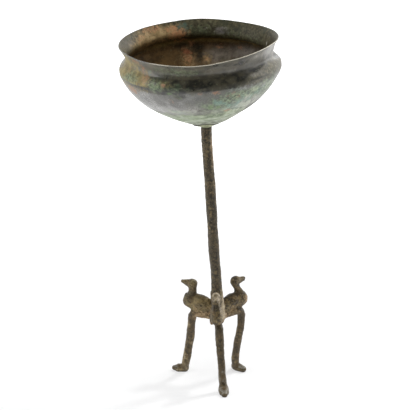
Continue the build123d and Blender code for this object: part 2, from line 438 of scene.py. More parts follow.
def bowl_look():
    m = Look("bowl_bronze_patina", ior=1.9)
    fine = m.noise(1.2, 4, 0.6)
    grain = m.noise(2.6, 4, 0.65, seed=4.0)
    mid = m.noise(6, 5, 0.6, seed=1.0)
    big = m.noise(26, 4, 0.55, seed=2.0)
    other = m.noise(4.4, 4, 0.62, seed=6.0)
    cloud = m.noise(17, 3, 0.5, seed=16.0)
    streak = m.noise(9, 5, 0.6, seed=14.0, stretch=(1.0, 1.0, 0.3))
    patchy = m.noise(8, 4, 0.6, seed=21.0)
    calm = m.math("MULTIPLY_ADD", m.mask("grey_and_painted_light"), -0.25, 1.0, clamp=True)
    m.base(lin(40, 38, 27), lin(68, 65, 48), m.ramp(mid, 0.32, 0.7), m.mixf(m.ramp(mid, 0.3, 0.7), 0.2, 0.34))
    m.layer(m.ramp(big, 0.48, 0.66), lin(52, 57, 42), strength=0.5)
    # Lower bowl: painted reflection of the white floor as a streaky grey-lilac sheen with whitish blotches and darker
    # olive clouds; on the back, random grey patina.
    m.layer(m.patch("grey_and_painted_light", mid, 0.1, 0.95, 0.4), m.mix(m.ramp(streak, 0.34, 0.66), lin(76, 75, 69), lin(106, 105, 100)), 0.24, 0.9)
    m.layer(m.math("MULTIPLY", m.mask("grey_and_painted_light"), m.ramp(cloud, 0.5, 0.66)), lin(150, 149, 146), 0.26, 0.62)
    m.layer(m.math("MULTIPLY", m.mask("grey_and_painted_light"), m.ramp(cloud, 0.47, 0.32)), lin(72, 73, 58), 0.3, 0.7)
    m.layer(m.patch("neck", mid, 0.1, 0.9, 0.5), m.mix(m.ramp(cloud, 0.38, 0.62), lin(46, 43, 31), lin(93, 86, 67)), 0.36, 0.9, shine=0.4)
    # Dark: dark patina on the shoulder band, deepened as painted reflection of the dark room in front, with painted
    # shade in the neck junction and along the ridge.
    m.layer(m.patch("dark", mid, 0.2, 0.8, 0.5), m.mix(m.ramp(patchy, 0.4, 0.62), lin(20, 19, 13), lin(68, 64, 48)), 0.34, 0.92, shine=0.3)
    m.layer(m.patch("olive", mid, 0.15, 0.9, 0.6), m.mix(m.ramp(grain, 0.4, 0.66), lin(73, 70, 53), lin(114, 108, 88)), 0.5, 0.92, shine=0.25)
    m.layer(m.patch("tan", grain, 0.05, 0.8, 0.8), m.mix(m.ramp(mid, 0.38, 0.64), lin(128, 111, 60), lin(164, 148, 91)), 0.6, 0.9, shine=0.15)
    f = m.layer(m.patch("green", other, 0.12, 0.9, 0.65), m.mix(m.ramp(grain, 0.42, 0.6), lin(62, 78, 52), lin(130, 147, 113)), 0.45, 0.85, shine=0.25)
    m.raise_(f, 0.07)
    m.layer(m.patch("bright", other, 0.25, 0.95, 1.0), lin(104, 130, 80), 0.55, 0.55, shine=0.2)
    f = m.layer(m.patch("teal", patchy, 0.25, 0.95, 1.0), lin(112, 150, 138), 0.52, 0.7, shine=0.25)
    m.raise_(f, 0.08)
    # Pale green patina; a few of its marks are painted highlights.
    f = m.layer(m.patch("pale", mid, 0.15, 0.95, 0.8), m.mix(m.ramp(other, 0.42, 0.6), lin(146, 160, 124), lin(182, 190, 168)), 0.6, 0.85)
    m.raise_(f, 0.06)
    m.layer(m.patch("foot", mid, 0.1, 0.95, 0.7), m.mix(m.ramp(patchy, 0.4, 0.62), lin(126, 140, 108), lin(176, 184, 164)), 0.66, 0.75, shine=0.35)
    # Painted highlight: whitish patches standing in for reflections of the bright room on the neck, shoulder and lower
    # bowl.
    m.layer(m.patch("painted_sheen", mid, 0.1, 0.95, 0.6), lin(178, 174, 166), 0.3, 0.6)
    f = m.layer(m.patch("orange", m.noise(2.6, 4, 0.65, seed=7.0), 0.25, 1.0, 1.2), lin(170, 128, 98), 0.62, 0.66, shine=0.2)
    m.raise_(f, 0.08)
    m.layer(m.patch("rust", other, 0.25, 0.95, 1.0), lin(142, 90, 64), 0.62, 0.6, shine=0.2)
    # Lilac: lilac patina tint, partly a painted reflection sheen.
    m.layer(m.patch("lilac_and_painted_sheen", grain, 0.2, 0.95, 1.0), lin(142, 138, 146), 0.36, 0.55)
    freck = m.math("MULTIPLY", m.ramp(m.noise(1.8, 3, 0.6, seed=12.0), 0.56, 0.7), m.ramp(big, 0.36, 0.56))
    m.layer(m.math("MULTIPLY", freck, calm), lin(128, 130, 100), 0.55, 0.32)
    m.layer(m.math("MULTIPLY", m.ramp(m.noise(2.4, 4, 0.65, seed=13.0), 0.44, 0.3), calm), lin(30, 29, 20), 0.5, 0.5)
    spots = m.ramp(m.cell(4.6, 9.0), 0.15, 0.07)
    m.layer(m.math("MULTIPLY", spots, calm), lin(124, 128, 104), 0.6, strength=0.35)
    pits = m.ramp(m.cell(3.1, 11.0), 0.17, 0.08)
    m.layer(m.math("MULTIPLY", pits, calm), lin(26, 24, 17), 0.7, strength=0.45)
    m.raise_(pits, -0.1)
    m.rough = m.mixf(m.mask("matt"), m.rough, 0.72)
    m.layer(m.patch("lip", grain, 0.15, 0.85, 0.6), lin(206, 198, 176), 0.45, 0.8)
    m.raise_(fine, 0.05)
    m.raise_(mid, 0.14)
    return m.done()


def inside_look():
    m = Look("bowl_inside_patina", ior=1.36)
    fine = m.noise(1.2, 4, 0.6)
    grain = m.noise(2.6, 4, 0.65, seed=4.0)
    mid = m.noise(6, 5, 0.6, seed=1.0)
    big = m.noise(24, 4, 0.55, seed=2.0)
    other = m.noise(3.2, 4, 0.65, seed=6.0)
    streak = m.noise(11, 6, 0.68, seed=15.0, stretch=(0.75, 1.0, 1.0))
    m.base(lin(52, 48, 33), lin(90, 84, 60), m.ramp(grain, 0.36, 0.66), 0.5)
    m.layer(m.ramp(big, 0.48, 0.66), lin(58, 64, 46), strength=0.5)
    m.layer(m.patch("olive", mid, 0.15, 0.9, 0.6), m.mix(m.ramp(grain, 0.4, 0.64), lin(84, 80, 58), lin(120, 112, 86)), 0.5, 0.85)
    m.layer(m.patch("green", grain, 0.2, 0.95, 1.2), m.mix(m.ramp(mid, 0.4, 0.62), lin(66, 78, 54), lin(106, 116, 88)), 0.55, 0.7)
    m.layer(m.patch("brown", mid, 0.1, 0.8, 0.4), m.mix(m.ramp(streak, 0.3, 0.7), lin(67, 49, 24), lin(114, 88, 51)), 0.6, 0.95)
    # Painted light: lighter tan on the inner back-left wall by the shoulder pocket, brightening a place that lies in
    # shade.
    m.layer(m.patch("painted_fill_light", mid, 0.1, 0.8, 0.4), m.mix(m.ramp(grain, 0.4, 0.66), lin(116, 103, 60), lin(152, 134, 86)), 0.7, 0.85)
    # Painted shade: dark brown in the inner pockets under the shoulder and along the foot of the inner wall.
    m.layer(m.patch("painted_pocket_shade", mid, 0.1, 0.9, 0.5), lin(34, 30, 18), 0.6, 0.9)
    # Inner floor and left inner wall: painted reflection sheen in grey.
    m.layer(m.patch("grey_and_painted_light", mid, 0.1, 0.95, 0.5), m.mix(m.ramp(streak, 0.36, 0.64), lin(96, 87, 76), lin(136, 126, 114)), 0.42, 0.85)
    m.layer(m.patch("tan", grain, 0.1, 0.9, 0.7), m.mix(m.ramp(mid, 0.38, 0.64), lin(132, 110, 72), lin(168, 144, 102)), 0.6, 0.9)
    f = m.layer(m.patch("orange", m.noise(2.8, 4, 0.65, seed=7.0), 0.2, 1.0, 1.2), lin(182, 132, 92), 0.62, 0.75)
    m.raise_(f, 0.08)
    m.layer(m.patch("rust", other, 0.25, 0.95, 1.0), lin(152, 88, 58), 0.62, 0.7)
    m.layer(m.patch("teal", other, 0.3, 0.95, 1.2), lin(76, 96, 84), 0.55, 0.7)
    # Lilac specks, partly painted sheen on the right inner floor.
    m.layer(m.patch("lilac_and_painted_sheen", grain, 0.2, 0.95, 1.0), lin(112, 104, 108), 0.45, 0.6)
    # Pale flecks; the one at 113 degrees is a painted glint.
    m.layer(m.patch("pale", grain, 0.2, 0.95, 0.6), lin(206, 202, 188), 0.55, 0.85)
    m.layer(m.ramp(m.noise(1.8, 3, 0.6, seed=12.0), 0.58, 0.7), lin(136, 130, 98), 0.6, 0.3)
    m.layer(m.ramp(m.noise(2.4, 4, 0.65, seed=13.0), 0.44, 0.3), lin(32, 28, 17), 0.6, 0.45)
    pits = m.ramp(m.cell(3.1, 11.0), 0.17, 0.08)
    m.layer(pits, lin(30, 26, 16), 0.7, strength=0.4)
    m.raise_(pits, -0.1)
    m.layer(m.patch("lip", grain, 0.15, 0.85, 0.6), lin(200, 190, 164), 0.5, 0.85)
    m.raise_(fine, 0.05)
    m.raise_(mid, 0.14)
    return m.done()


def collar_look():
    m = Look("collar_bronze_patina", ior=1.5)
    fine = m.noise(1.2, 5, 0.6)
    mid = m.noise(4, 5, 0.6, seed=1.0)
    m.base(lin(112, 116, 86), lin(160, 164, 132), m.ramp(mid, 0.35, 0.65), 0.6)
    m.layer(m.ramp(m.noise(2.6, 4, 0.6, seed=3.0), 0.56, 0.7), lin(84, 80, 56), 0.6, 0.6)
    m.layer(m.patch("dark", mid, 0.2, 0.7, 0.4), lin(34, 30, 20), 0.6, 0.95)
    m.raise_(fine, 0.12)
    m.raise_(mid, 0.2)
    return m.done()


def rough_look(name, dark, light, warm, pit, pit_depth, speck, ior=1.4):
    """Rough cast or forged bronze: grainy, pitted, with crusts by mask, and by mask also painted light on lit tops and
    sides and painted shade under parts; speck scales the small dark and light spots.
    """
    m = Look(name, ior=ior)
    fine = m.noise(0.9, 3, 0.65)
    blot = m.noise(4.6, 4, 0.65, seed=17.0)
    grain = m.noise(2.2, 4, 0.68, seed=1.0)
    mid = m.noise(6.5, 4, 0.6, seed=2.0)
    big = m.noise(20, 3, 0.55, seed=3.0)
    m.base(dark, light, m.ramp(grain, 0.36, 0.64), m.mixf(m.ramp(grain, 0.3, 0.7), 0.42, 0.6))
    m.layer(m.ramp(mid, 0.46, 0.66), warm, 0.6, 0.5)
    m.layer(m.ramp(big, 0.5, 0.36), dark, 0.55, 0.35)
    m.layer(m.ramp(blot, 0.46, 0.34), dark, 0.55, 0.5 * speck)
    m.layer(m.patch("khaki", grain, 0.15, 1.0, 1.2), lin(140, 122, 80), 0.6, 0.65)
    m.layer(m.patch("green", m.noise(2.4, 4, 0.65, seed=4.0), 0.2, 1.0, 1.2), lin(108, 108, 76), 0.62, 0.45)
    m.layer(m.patch("red", m.noise(2.6, 4, 0.65, seed=5.0), 0.15, 0.95, 1.0), m.mix(m.ramp(grain, 0.4, 0.62), lin(122, 98, 67), lin(174, 150, 114)), 0.62, 0.82)
    # beige: beige crust in places, and painted light on lit tops and right-hand sides.
    m.layer(m.patch("beige_and_painted_light", m.noise(2.2, 4, 0.65, seed=6.0), 0.12, 0.9, 0.9), m.mix(m.ramp(mid, 0.4, 0.62), lin(162, 147, 121), lin(200, 184, 156)), 0.55, 0.85)
    # grey: grey crust in places, and painted top light on upward faces such as feet and duck heads.
    m.layer(m.patch("grey_and_painted_light", m.noise(3.0, 4, 0.65, seed=10.0), 0.2, 1.0, 0.9), lin(150, 146, 134), 0.5, 0.8)
    m.layer(m.patch("dark", grain, 0.2, 0.9, 0.8), lin(40, 34, 23), 0.55, 0.8)
    m.layer(m.ramp(m.noise(1.7, 4, 0.65, seed=9.0), 0.45, 0.33), lin(34, 28, 18), 0.6, 0.6 * speck)
    pits = m.ramp(m.cell(pit, 7.0), 0.28, 0.1)
    m.layer(pits, lin(30, 25, 16), 0.7, 0.6 * speck)
    m.raise_(pits, -pit_depth)
    m.layer(m.ramp(m.noise(1.3, 3, 0.6, seed=8.0), 0.58, 0.72), lin(150, 138, 104), 0.6, 0.45 * speck)
    m.raise_(fine, 0.16)
    m.raise_(grain, 0.28 + 0.12 * speck)
    return m.done()


LOOK_BOWL = bowl_look()
LOOK_INSIDE = inside_look()
LOOK_COLLAR = collar_look()
LOOK_STEM = rough_look("stem_bronze_patina", lin(46, 40, 27), lin(92, 80, 58), lin(88, 71, 47), 2.2, 0.28, 0.95)
LOOK_TRIPOD = rough_look("tripod_bronze_patina", lin(56, 47, 31), lin(96, 81, 55), lin(96, 77, 48), 1.9, 0.22, 0.55)
LOOK_DUCK = rough_look("duck_bronze_patina", lin(52, 43, 27), lin(120, 102, 69), lin(114, 92, 57), 1.9, 0.3, 1.2)


# ---------------------------------------------------------------- the bowl
SHEET = 1.3
LOWER = [(11.0, 0.0), (18.2, 3.0), (27.2, 7.9), (37.2, 14.0), (48.0, 21.1), (57.7, 29.2), (65.4, 38.0), (70.5, 45.9), (73.13, 51.8)]
UPPER = [(73.13, 51.8), (73.35, 54.4), (73.15, 57.2), (71.85, 60.0), (69.6, 62.6), (67.75, 64.6), (66.9, 66.9), (67.3, 68.9), (68.45, 71.3), (70.35, 74.5), (72.9, 78.0)]
NU = 384


def bowl_loop():
    """Closed profile of the wall: (r, h), the side (1 outside, -1 inside) and the running height on the outer skin."""
    low = spline([(r, h, 0) for r, h in LOWER], 96)[:, :2]
    up = spline([(r, h, 0) for r, h in UPPER], 50)[:, :2]
    flat = np.stack([np.linspace(1.95, 11.0, 9)[:-1], np.zeros(8)], 1)
    outer = np.vstack([flat, low, up[1:]])
    t = np.gradient(outer, axis=0)
    t /= np.linalg.norm(t, axis=1, keepdims=True)
    nrm = np.stack([t[:, 1], -t[:, 0]], 1)
    wide = np.convolve(np.pad(nrm, ((6, 6), (0, 0)), mode="edge")[:, 0], np.ones(13) / 13, "valid")
    tall = np.convolve(np.pad(nrm, ((6, 6), (0, 0)), mode="edge")[:, 1], np.ones(13) / 13, "valid")
    soft = np.stack([wide, tall], 1)
    soft /= np.linalg.norm(soft, axis=1, keepdims=True)
    thick = SHEET - 0.6 * step(64, 78, outer[:, 1])
    inner = outer - thick[:, None] * soft
    inner[:9, 0] = outer[:9, 0]
    inner[:9, 1] = SHEET
    pick = np.unique(np.round(np.linspace(0, len(inner) - 1, 96)).astype(int))
    lip_c = 0.5 * (outer[-1] + inner[-1])
    a = outer[-1] - lip_c
    fwd = t[-1]
    arc = np.linspace(0, math.pi, 7)[1:-1]
    lip = lip_c + np.cos(arc)[:, None] * a + np.sin(arc)[:, None] * fwd * np.linalg.norm(a)
    loop = np.vstack([outer, lip, inner[pick][::-1]])
    side = np.concatenate([np.ones(len(outer)), np.zeros(len(lip)), -np.ones(len(pick))])
    h0 = np.concatenate([outer[:, 1], np.full(len(lip), outer[-1, 1]), outer[pick, 1][::-1]])
    return loop, side, h0


def bottom_rise(th, r):
    """The bowl's underside is pushed up at the front, and the collar follows it."""
    return 2.5 * np.maximum(np.cos(th), 0) ** 4 * np.clip(r / 11.0, 0, 1)


SWAY = np.polyfit([0, 10, 20, 40, 60, 78], [0.6, 1.1, 0.95, 0.35, -0.25, 0.4], 5)


# how far the rim dips, in mm, by azimuth
RIM_AT = [-180, -170, -162, -150, -140, -130, -118, -106, -95, -82, -68, 0, 70, 84, 95, 105, 114, 128, 140, 152, 164, 172]
RIM_DROP = [0.5, 0.6, 1.0, 1.15, 0.95, 0.85, 1.05, 1.0, 0.8, 0.35, 0.0, 0.0, 0.0, 0.3, 0.6, 0.9, 1.15, 1.2, 1.3, 1.45, 1.15, 0.75]


def blobs(th, arc_r, h, side, want, places):
    """Soft patches: (azimuth deg, height, half width mm, half height mm, weight)."""
    out = np.zeros(len(th))
    for az, hh, su, sv, w in places:
        du = (th - math.radians(az) + math.pi) % (2 * math.pi) - math.pi
        d = (du * arc_r / su) ** 2 + ((h - hh) / sv) ** 2
        out = np.maximum(out, w * np.exp(-0.5 * d * 0.9))
    return np.where(np.sign(side) == want, out, 0)


def build_bowl():
    loop, side1, h1 = bowl_loop()
    nv = len(loop)
    th1 = np.linspace(0, 2 * math.pi, NU, endpoint=False)
    th = np.tile(th1, nv)
    r = np.repeat(loop[:, 0], NU)
    h = np.repeat(loop[:, 1], NU)
    side = np.repeat(side1, NU)
    h0 = np.repeat(h1, NU)
    deg = (np.degrees(th) + 180) % 360 - 180
    c1, s1, c2, s2, c3 = np.cos(th), np.sin(th), np.cos(2 * th), np.sin(2 * th), np.cos(3 * th)
    hh = h + step(50, 78, h0) * (0.346 + 1.262 * c1 - 1.955 * s1 - 0.822 * c2 + 1.077 * s2 - 0.684 * c3)
    hh += np.exp(-(((h0 - 66) / 6) ** 2)) * (-1.625 - 2.572 * s1 + 0.819 * c1 + 0.926 * c2)
    hh += np.exp(-(((h0 - 52) / 8) ** 2)) * (0.256 + 1.2 * c1 - 1.974 * s1 + 0.7 * c2)
    hh -= step(64, 78, h0) * np.interp(deg, RIM_AT, RIM_DROP, period=360)
    hh += 2.4 * np.exp(-(((h0 - 64.5) / 4) ** 2)) * np.exp(-(((deg - 64) / 17) ** 2))
    hh -= 3.2 * np.exp(-(((h0 - 64.5) / 4) ** 2)) * np.exp(-(((deg - 100) / 15) ** 2))
    hh -= 1.7 * np.exp(-(((h0 - 60) / 6) ** 2)) * np.exp(-(((deg - 108) / 15) ** 2))
    hh -= 1.2 * np.exp(-(((h0 - 65) / 4) ** 2)) * np.exp(-(((deg + 92) / 26) ** 2))
    hh += 0.95 * np.exp(-(((h0 - 3.5) / 5) ** 2)) * np.clip(-s1, 0, 1) ** 2 + 0.3 * np.exp(-(((h0 - 13) / 7) ** 2)) * np.clip(s1, 0, 1) ** 2
    hh += bottom_rise(th, r) * np.exp(-((h0 / 15) ** 2))
    around = np.stack([40 * np.sin(th), -40 * np.cos(th), h0], 1)
    hh += 0.28 * vnoise(around, 17, 5) * step(60, 78, h0) + 0.12 * vnoise(around, 5, 6) * step(72, 78, h0)
    rr = r + 0.3 * vnoise(around, 30, 7) * step(4, 30, h0) + 0.2 * vnoise(around, 11, 8) * step(4, 20, h0)
    rr += 0.25 * vnoise(around, 9, 9) * step(70, 78, h0) - 0.4 * step(71, 77, h0) * np.exp(-(((deg - 97) / 22) ** 2))
    rr -= 0.9 * np.exp(-(((h0 - 64.8) / 2.6) ** 2)) * np.exp(-(((deg - 95) / 16) ** 2))
    p = BASE + np.polyval(SWAY, h0)[:, None] * np.array([1.0, 0, 0])
    p = p + hh[:, None] * BOWL_UP + (rr * np.sin(th))[:, None] * BOWL_RT - (rr * np.cos(th))[:, None] * BOWL_BK
    n = ring_normals(p, NU, nv)
    dent = 0.08 * fbm(p, 5.5, 3, 21) - 0.14 * step(0.42, 0.2, cells(p, 4.2, 23)) * step(0.1, 0.5, vnoise(p, 16, 24))
    dent = np.where((h0 > 2) & (side != 0), dent, 0.3 * dent)
    p = p + dent[:, None] * n
    arc = np.maximum(r, 6)
    o = lambda places: blobs(th, arc, h0, side, 1, places)
    i = lambda places: blobs(th, arc, h0, side, -1, places)
    far = fbm(p, 26, 3, 41) * 0.5 + 0.5
    fleck = fbm(p, 9, 3, 42) * 0.5 + 0.5
    hid = step(62, 85, np.abs(deg))
    out = np.where(side > 0, 1.0, 0.0)
    inn = np.where(side < 0, 1.0, 0.0)
    low = step(53, 47, h0)
    front = step(100, 60, np.abs(deg))
    # Painted shade: a dark line along the ridge on the left front.
    ridge_shade = out * np.exp(-(((h0 - 53.0) / 1.2) ** 2)) * step(-92, -80, deg) * step(-14, -30, deg)
    # Painted shade in the hollow where the neck meets the shoulder on the right front, wider on the upper side.
    above = h0 - 62.6 - 0.13 * (deg - 44)
    junction_shade = np.exp(-((above / np.where(above > 0, 2.7, 1.2)) ** 2)) * step(30, 38, deg) * step(68, 52, deg) * out
    masks = {
        "matt": np.maximum.reduce([out * step(32, 20, h0), 0.8 * junction_shade, o([(62, 58.5, 11, 3.4, 0.7), (32, 72, 14, 4, 0.45), (-55, 76, 9, 3, 0.7), (56, 67.6, 7, 2.2, 0.8)])]),
        # grey: painted floor reflection on the lower bowl, painted sheen on the right inner floor and the left inner
        # wall, random grey patina on the back
        "grey_and_painted_light": np.maximum.reduce([
            0.9 * out * low * step(14, 22, h0) * np.exp(-(((deg + 32) / 36) ** 2)),
            o([(28, 48.5, 12, 2.2, 0.6), (50, 47.5, 12, 2.6, 0.7)]),
            0.55 * out * hid * low * step(0.5, 0.35, far), i([(140, 45, 24, 9, 0.9), (165, 42, 16, 8, 0.8), (120, 45, 18, 9, 0.8), (-108, 72, 12, 9, 0.6), (-95, 70, 12, 9, 0.45)])]),
        "neck": np.maximum.reduce([
            o([(-5, 70, 26, 6, 0.95), (30, 73, 22, 5, 0.8), (60, 72, 20, 6, 0.8), (-32, 71, 16, 6, 0.9), (12, 71, 14, 4, 0.8)]), 0.65 * out * hid * step(64, 69, h0) * step(0.25, 0.6, far)]),
        "tan": np.maximum.reduce([
            o([(-72, 60, 16, 7, 1.0), (-56, 59, 12, 6, 0.95), (-46, 58, 8, 6, 0.7), (-75, 69, 16, 6, 0.9), (-58, 71, 8, 6, 0.5), (-57, 76, 8, 2.4, 0.4), (-27, 58.6, 8, 3, 0.42)]),
            i([(-147, 69, 16, 5, 0.95), (-133, 68, 12, 6, 0.9), (-118, 67, 10, 5, 0.5), (-160, 63.5, 6, 2.0, 0.4), (-169, 42, 6.5, 8, 0.45), (176, 39.5, 3.6, 3.6, 0.7), (168, 33, 20, 4, 0.35), (150, 36, 16, 4, 0.25)]),
            0.36 * out * hid * step(0.45, 0.75, 0.5 * far + 0.5 * fleck) * step(46, 56, h0)]),
        "orange": np.maximum.reduce([
            o([(-47, 70, 2.6, 4, 0.75), (-44, 62, 3.4, 3.6, 0.75), (-50, 76, 3.6, 1.8, 0.7), (-27, 58.5, 2.0, 1.7, 1.0), (-60, 47.6, 7, 3, 0.9), (-54, 74.5, 5, 2.6, 0.55), (-66, 64, 3, 2, 0.5),
               (-0.5, 50.2, 2.6, 1.3, 0.7), (11, 49.6, 3.4, 1.4, 0.85), (21.4, 28.5, 2.2, 1.6, 0.8), (-23, 43, 3.6, 2.4, 0.45), (20, 45, 2.4, 1.7, 0.5), (24, 47, 2, 1.4, 0.5), (29, 43, 3.6, 2.6, 0.5),
               (120, 40, 6, 4, 0.5), (158, 54, 4, 2.4, 0.35), (-150, 35, 5, 4, 0.45), (-118, 58, 5, 3, 0.5)]),
            i([(-141, 75.5, 8, 2.6, 0.65), (-129, 70, 5, 3, 0.5), (-159, 72, 6, 2.5, 0.8), (-163, 68, 7, 3.2, 0.95), (-165, 60.5, 5, 3, 0.6),
               (-168.8, 43, 5, 6, 0.55), (-173, 54, 2.8, 3.5, 0.6), (177, 39, 3, 2.5, 0.5), (166, 50, 3, 2, 0.6), (149, 50, 3.4, 2, 0.6),
               (40, 40, 7, 6, 0.6), (-30, 65, 8, 4, 0.6), (-60, 22, 6, 5, 0.5)])]),
        "rust": np.maximum.reduce([
            o([(-54, 75.6, 6, 2.2, 0.65), (-43, 62, 2.2, 2.6, 0.55), (-27, 58.5, 1.0, 0.9, 0.6), (-56, 46.5, 3.4, 1.8, 0.5), (11, 49.8, 1.6, 0.9, 0.5)]),
            i([(-161, 69, 4, 2.2, 0.35), (-168.4, 47, 4, 3.5, 0.7), (-144, 74, 4, 2, 0.5)])]),
        "green": np.maximum.reduce([
            o([(30, 43, 16, 6, 0.9), (44, 42, 12, 6.4, 0.9), (18, 38, 13, 7, 0.85), (18, 45, 8, 4, 0.55), (6, 37, 9, 5, 0.65), (-28, 18, 14, 4, 0.8), (-8, 21, 16, 4.5, 0.85),
               (10, 21, 16, 5, 0.85), (26, 25, 14, 6, 0.75), (-23, 51, 4, 2, 0.45), (-33, 57, 8, 5, 0.75), (-18, 56, 10, 4, 0.5), (-14, 71, 14, 4, 0.6), (-30, 70, 10, 4, 0.45), (60, 42, 12, 8, 0.85), (60, 36, 9, 5, 0.75), (-60, 59, 9, 4, 0.8), (-70, 56, 8, 3, 0.6), (-18, 47, 9, 2.4, 0.3)]),
            i([(155, 67, 14, 5, 0.5), (175, 70, 16, 5, 0.5), (130, 68, 14, 5, 0.45)]),
            0.75 * out * hid * low * step(0.48, 0.66, far), 0.5 * inn * step(0.6, 0.75, far)]),
        "bright": o([(7, 36, 2.6, 2.2, 0.9), (-23.2, 50.6, 2, 1.2, 0.6), (13, 34, 4, 2.4, 0.6), (-33, 57, 5, 3, 0.5), (28, 40, 4, 3, 0.5), (-4, 21, 8, 3, 0.4)])
        + 0.5 * out * hid * low * step(0.62, 0.75, fleck),
        "teal": np.maximum.reduce([
            o([(11, 40, 5, 3, 0.7), (31.6, 32, 5, 3, 0.8), (24, 36, 9, 4, 0.65), (38, 39, 9, 5, 0.65), (48, 41, 8, 5, 0.6), (-38, 66, 6, 3, 0.4), (-24, 30.5, 8, 2.6, 0.45)]),
            i([(-168, 73, 5, 3, 0.9)]),
            0.55 * out * hid * low * step(0.58, 0.72, fleck)]),
        # pale: pale green patina, mostly near the bottom; the marks at -21 and -8.3 degrees low on the left are painted
        # highlights, and the tiny fleck inside at 113 degrees is a painted glint
        "pale": np.maximum.reduce([
            o([(43, 45.5, 5, 3, 0.6), (50, 51, 4, 2, 0.6), (58, 44, 7, 6, 0.45), (-23, 31.5, 8, 2.6, 0.6), (-7, 28, 13, 4, 0.5), (40, 30, 12, 5, 0.6), (38, 43.5, 8, 4, 0.5), (15, 29, 9, 3, 0.5), (-28, 18, 8, 2, 0.5), (-8.3, 23.0, 9, 1.6, 0.8), (12, 17, 12, 3, 0.6), (30, 24, 12, 4, 0.8), (-21, 26, 2, 1.2, 0.8), (0, 15, 26, 5, 0.6), (-30, 14, 16, 4, 0.5)]),
            i([(113, 69.2, 0.9, 0.8, 1.0), (175, 71, 1.6, 0.9, 0.45), (159, 72.5, 2.6, 0.8, 0.4), (151, 68, 1.8, 0.8, 0.4), (-177, 66, 1.4, 1.4, 0.4)]),
            0.5 * out * step(24, 9, h0) * (0.4 + 0.6 * front)]),
        "foot": 0.75 * out * front * step(2.0, -6.0, h0 - 29.0 + 6.0 * step(-38, 0, deg) - 16.0 * (fleck - 0.5)) * (0.35 + 0.65 * step(3, 12, h0)),
        # painted highlights: whitish reflections on the right neck and shoulder, the lower bowl and the lower left
        "painted_sheen": o([(66, 73.5, 9, 4, 0.75), (82, 71, 11, 6, 0.6), (-23, 31.5, 9, 3, 0.45), (98, 55, 10, 7, 0.35), (84, 64, 9, 3.4, 0.6), (46, 60, 7, 2.0, 0.42), (48, 74.2, 5, 2.4, 0.33), (24, 67.7, 8, 1.5, 0.42), (60, 46.5, 12, 2.6, 0.35), (-7, 33, 7, 5, 0.45), (40, 32, 14, 8, 0.5)]),
        "olive": np.maximum.reduce([
            o([(62, 58, 18, 6, 0.95), (78, 60, 14, 6, 0.9), (47, 58, 9, 4, 0.85), (42, 53.6, 9, 2.6, 0.7), (39, 58.4, 6, 2.6, 0.75), (33, 56.8, 5, 1.8, 0.5), (-2, 54, 9, 1.6, 0.5), (0, 48.4, 26, 1.8, 0.26), (-62, 75.2, 11, 3.2, 0.85)]),
            0.5 * i([(120, 69, 40, 9, 0.8), (160, 70, 20, 7, 0.6), (-165, 71, 12, 6, 0.6), (-100, 68, 16, 8, 0.8)]),
            0.6 * out * hid * step(0.45, 0.3, far) * step(52, 56, h0),
            0.5 * inn * step(34, 28, h0 - 26 * step(95, 70, np.abs(deg))) * step(57, 52, h0) * step(0.5, 0.68, fleck)]),
        "brown": np.maximum(inn * step(64, 57, h0) * 0.8, i([(-120, 45, 25, 12, 0.9), (-140, 40, 20, 10, 0.9)])),
        # painted light: brightens the shaded pocket on the inner back-left wall
        "painted_fill_light": inn * np.exp(-(((h0 - 58) / 4.0) ** 2)) * 0.7 * step(-110, -155, np.where(deg > 0, deg - 360, deg)),
        # painted shade: inner pockets under the shoulder and a line along the foot of the inner back-left wall
        "painted_pocket_shade": np.maximum(i([(122, 52, 14, 8, 0.85), (108, 60, 16, 6, 0.8), (-172, 60, 8, 4, 0.45), (-177, 49.5, 6, 5, 0.85), (-178.5, 44, 3.4, 7, 0.8), (-166, 54.5, 5, 3, 0.7), (145, 55.5, 10, 2.4, 0.7), (-106, 75, 11, 5, 0.5)]),
                           (0.8 - 0.7 * np.exp(-(((deg + 147) / 14) ** 2))) * inn * np.exp(-(((h0 - 56.5) / 1.6) ** 2)) * step(-84, -100, deg) * step(-172, -160, deg)),
        # dark: dark patina on the shoulder band, deepened as painted reflection of the dark room in front, plus painted
        # shade in the concave neck junction
        "dark": np.maximum.reduce([
            0.9 * out * step(50.0, 51.2, h0 + 2.0 * np.exp(-(((deg + 32) / 15) ** 2)) - 1.3 * np.exp(-(((deg - 24) / 13) ** 2))) * step(0, -3.6, h0 - 65.6 - 1.5 * step(-10, 25, deg) * step(75, 50, deg)) * np.maximum(step(80, 60, np.abs(deg)), step(0.5, 0.35, far)),
            o([(22, 74, 5, 1.5, 0.8), (33, 72.8, 3, 2.0, 0.85), (38.5, 72.4, 2.6, 1.2, 0.75), (28, 72.8, 4, 1.0, 0.65), (8, 74, 8, 1.6, 0.35), (14, 57, 24, 5, 1.0), (32, 60, 15, 5, 1.0), (44, 62.4, 7, 1.8, 0.85), (36, 71, 8, 3, 0.35), (50, 70, 10, 2.4, 0.6), (57, 67.4, 6, 1.8, 0.48), (-7, 44, 18, 6, 0.42), (-15, 47.8, 6, 2.0, 0.75), (-7, 49.8, 20, 2.0, 0.42), (-30, 50.6, 14, 1.8, 0.75), (-39, 48, 8, 3, 0.37), (-26, 38.5, 7, 2.5, 0.37), (-63, 75, 9, 2.6, 0.4), (-26, 46, 10, 2.4, 0.35), (48, 51.6, 9, 0.8, 0.45), (60, 51.8, 9, 0.8, 0.35)])]),
        # lilac: lilac patina tint, partly painted reflection sheen on the lower bowl, the neck and the right inner
        # floor
        "lilac_and_painted_sheen": np.maximum.reduce([i([(163, 70, 6, 2.4, 0.75), (150, 45, 16, 6, 0.3)]), o([(-48, 42, 10, 5, 0.4), (38, 73, 10, 3, 0.35), (33, 50.5, 12, 2, 0.55), (8, 72, 5, 3, 0.4)])]),
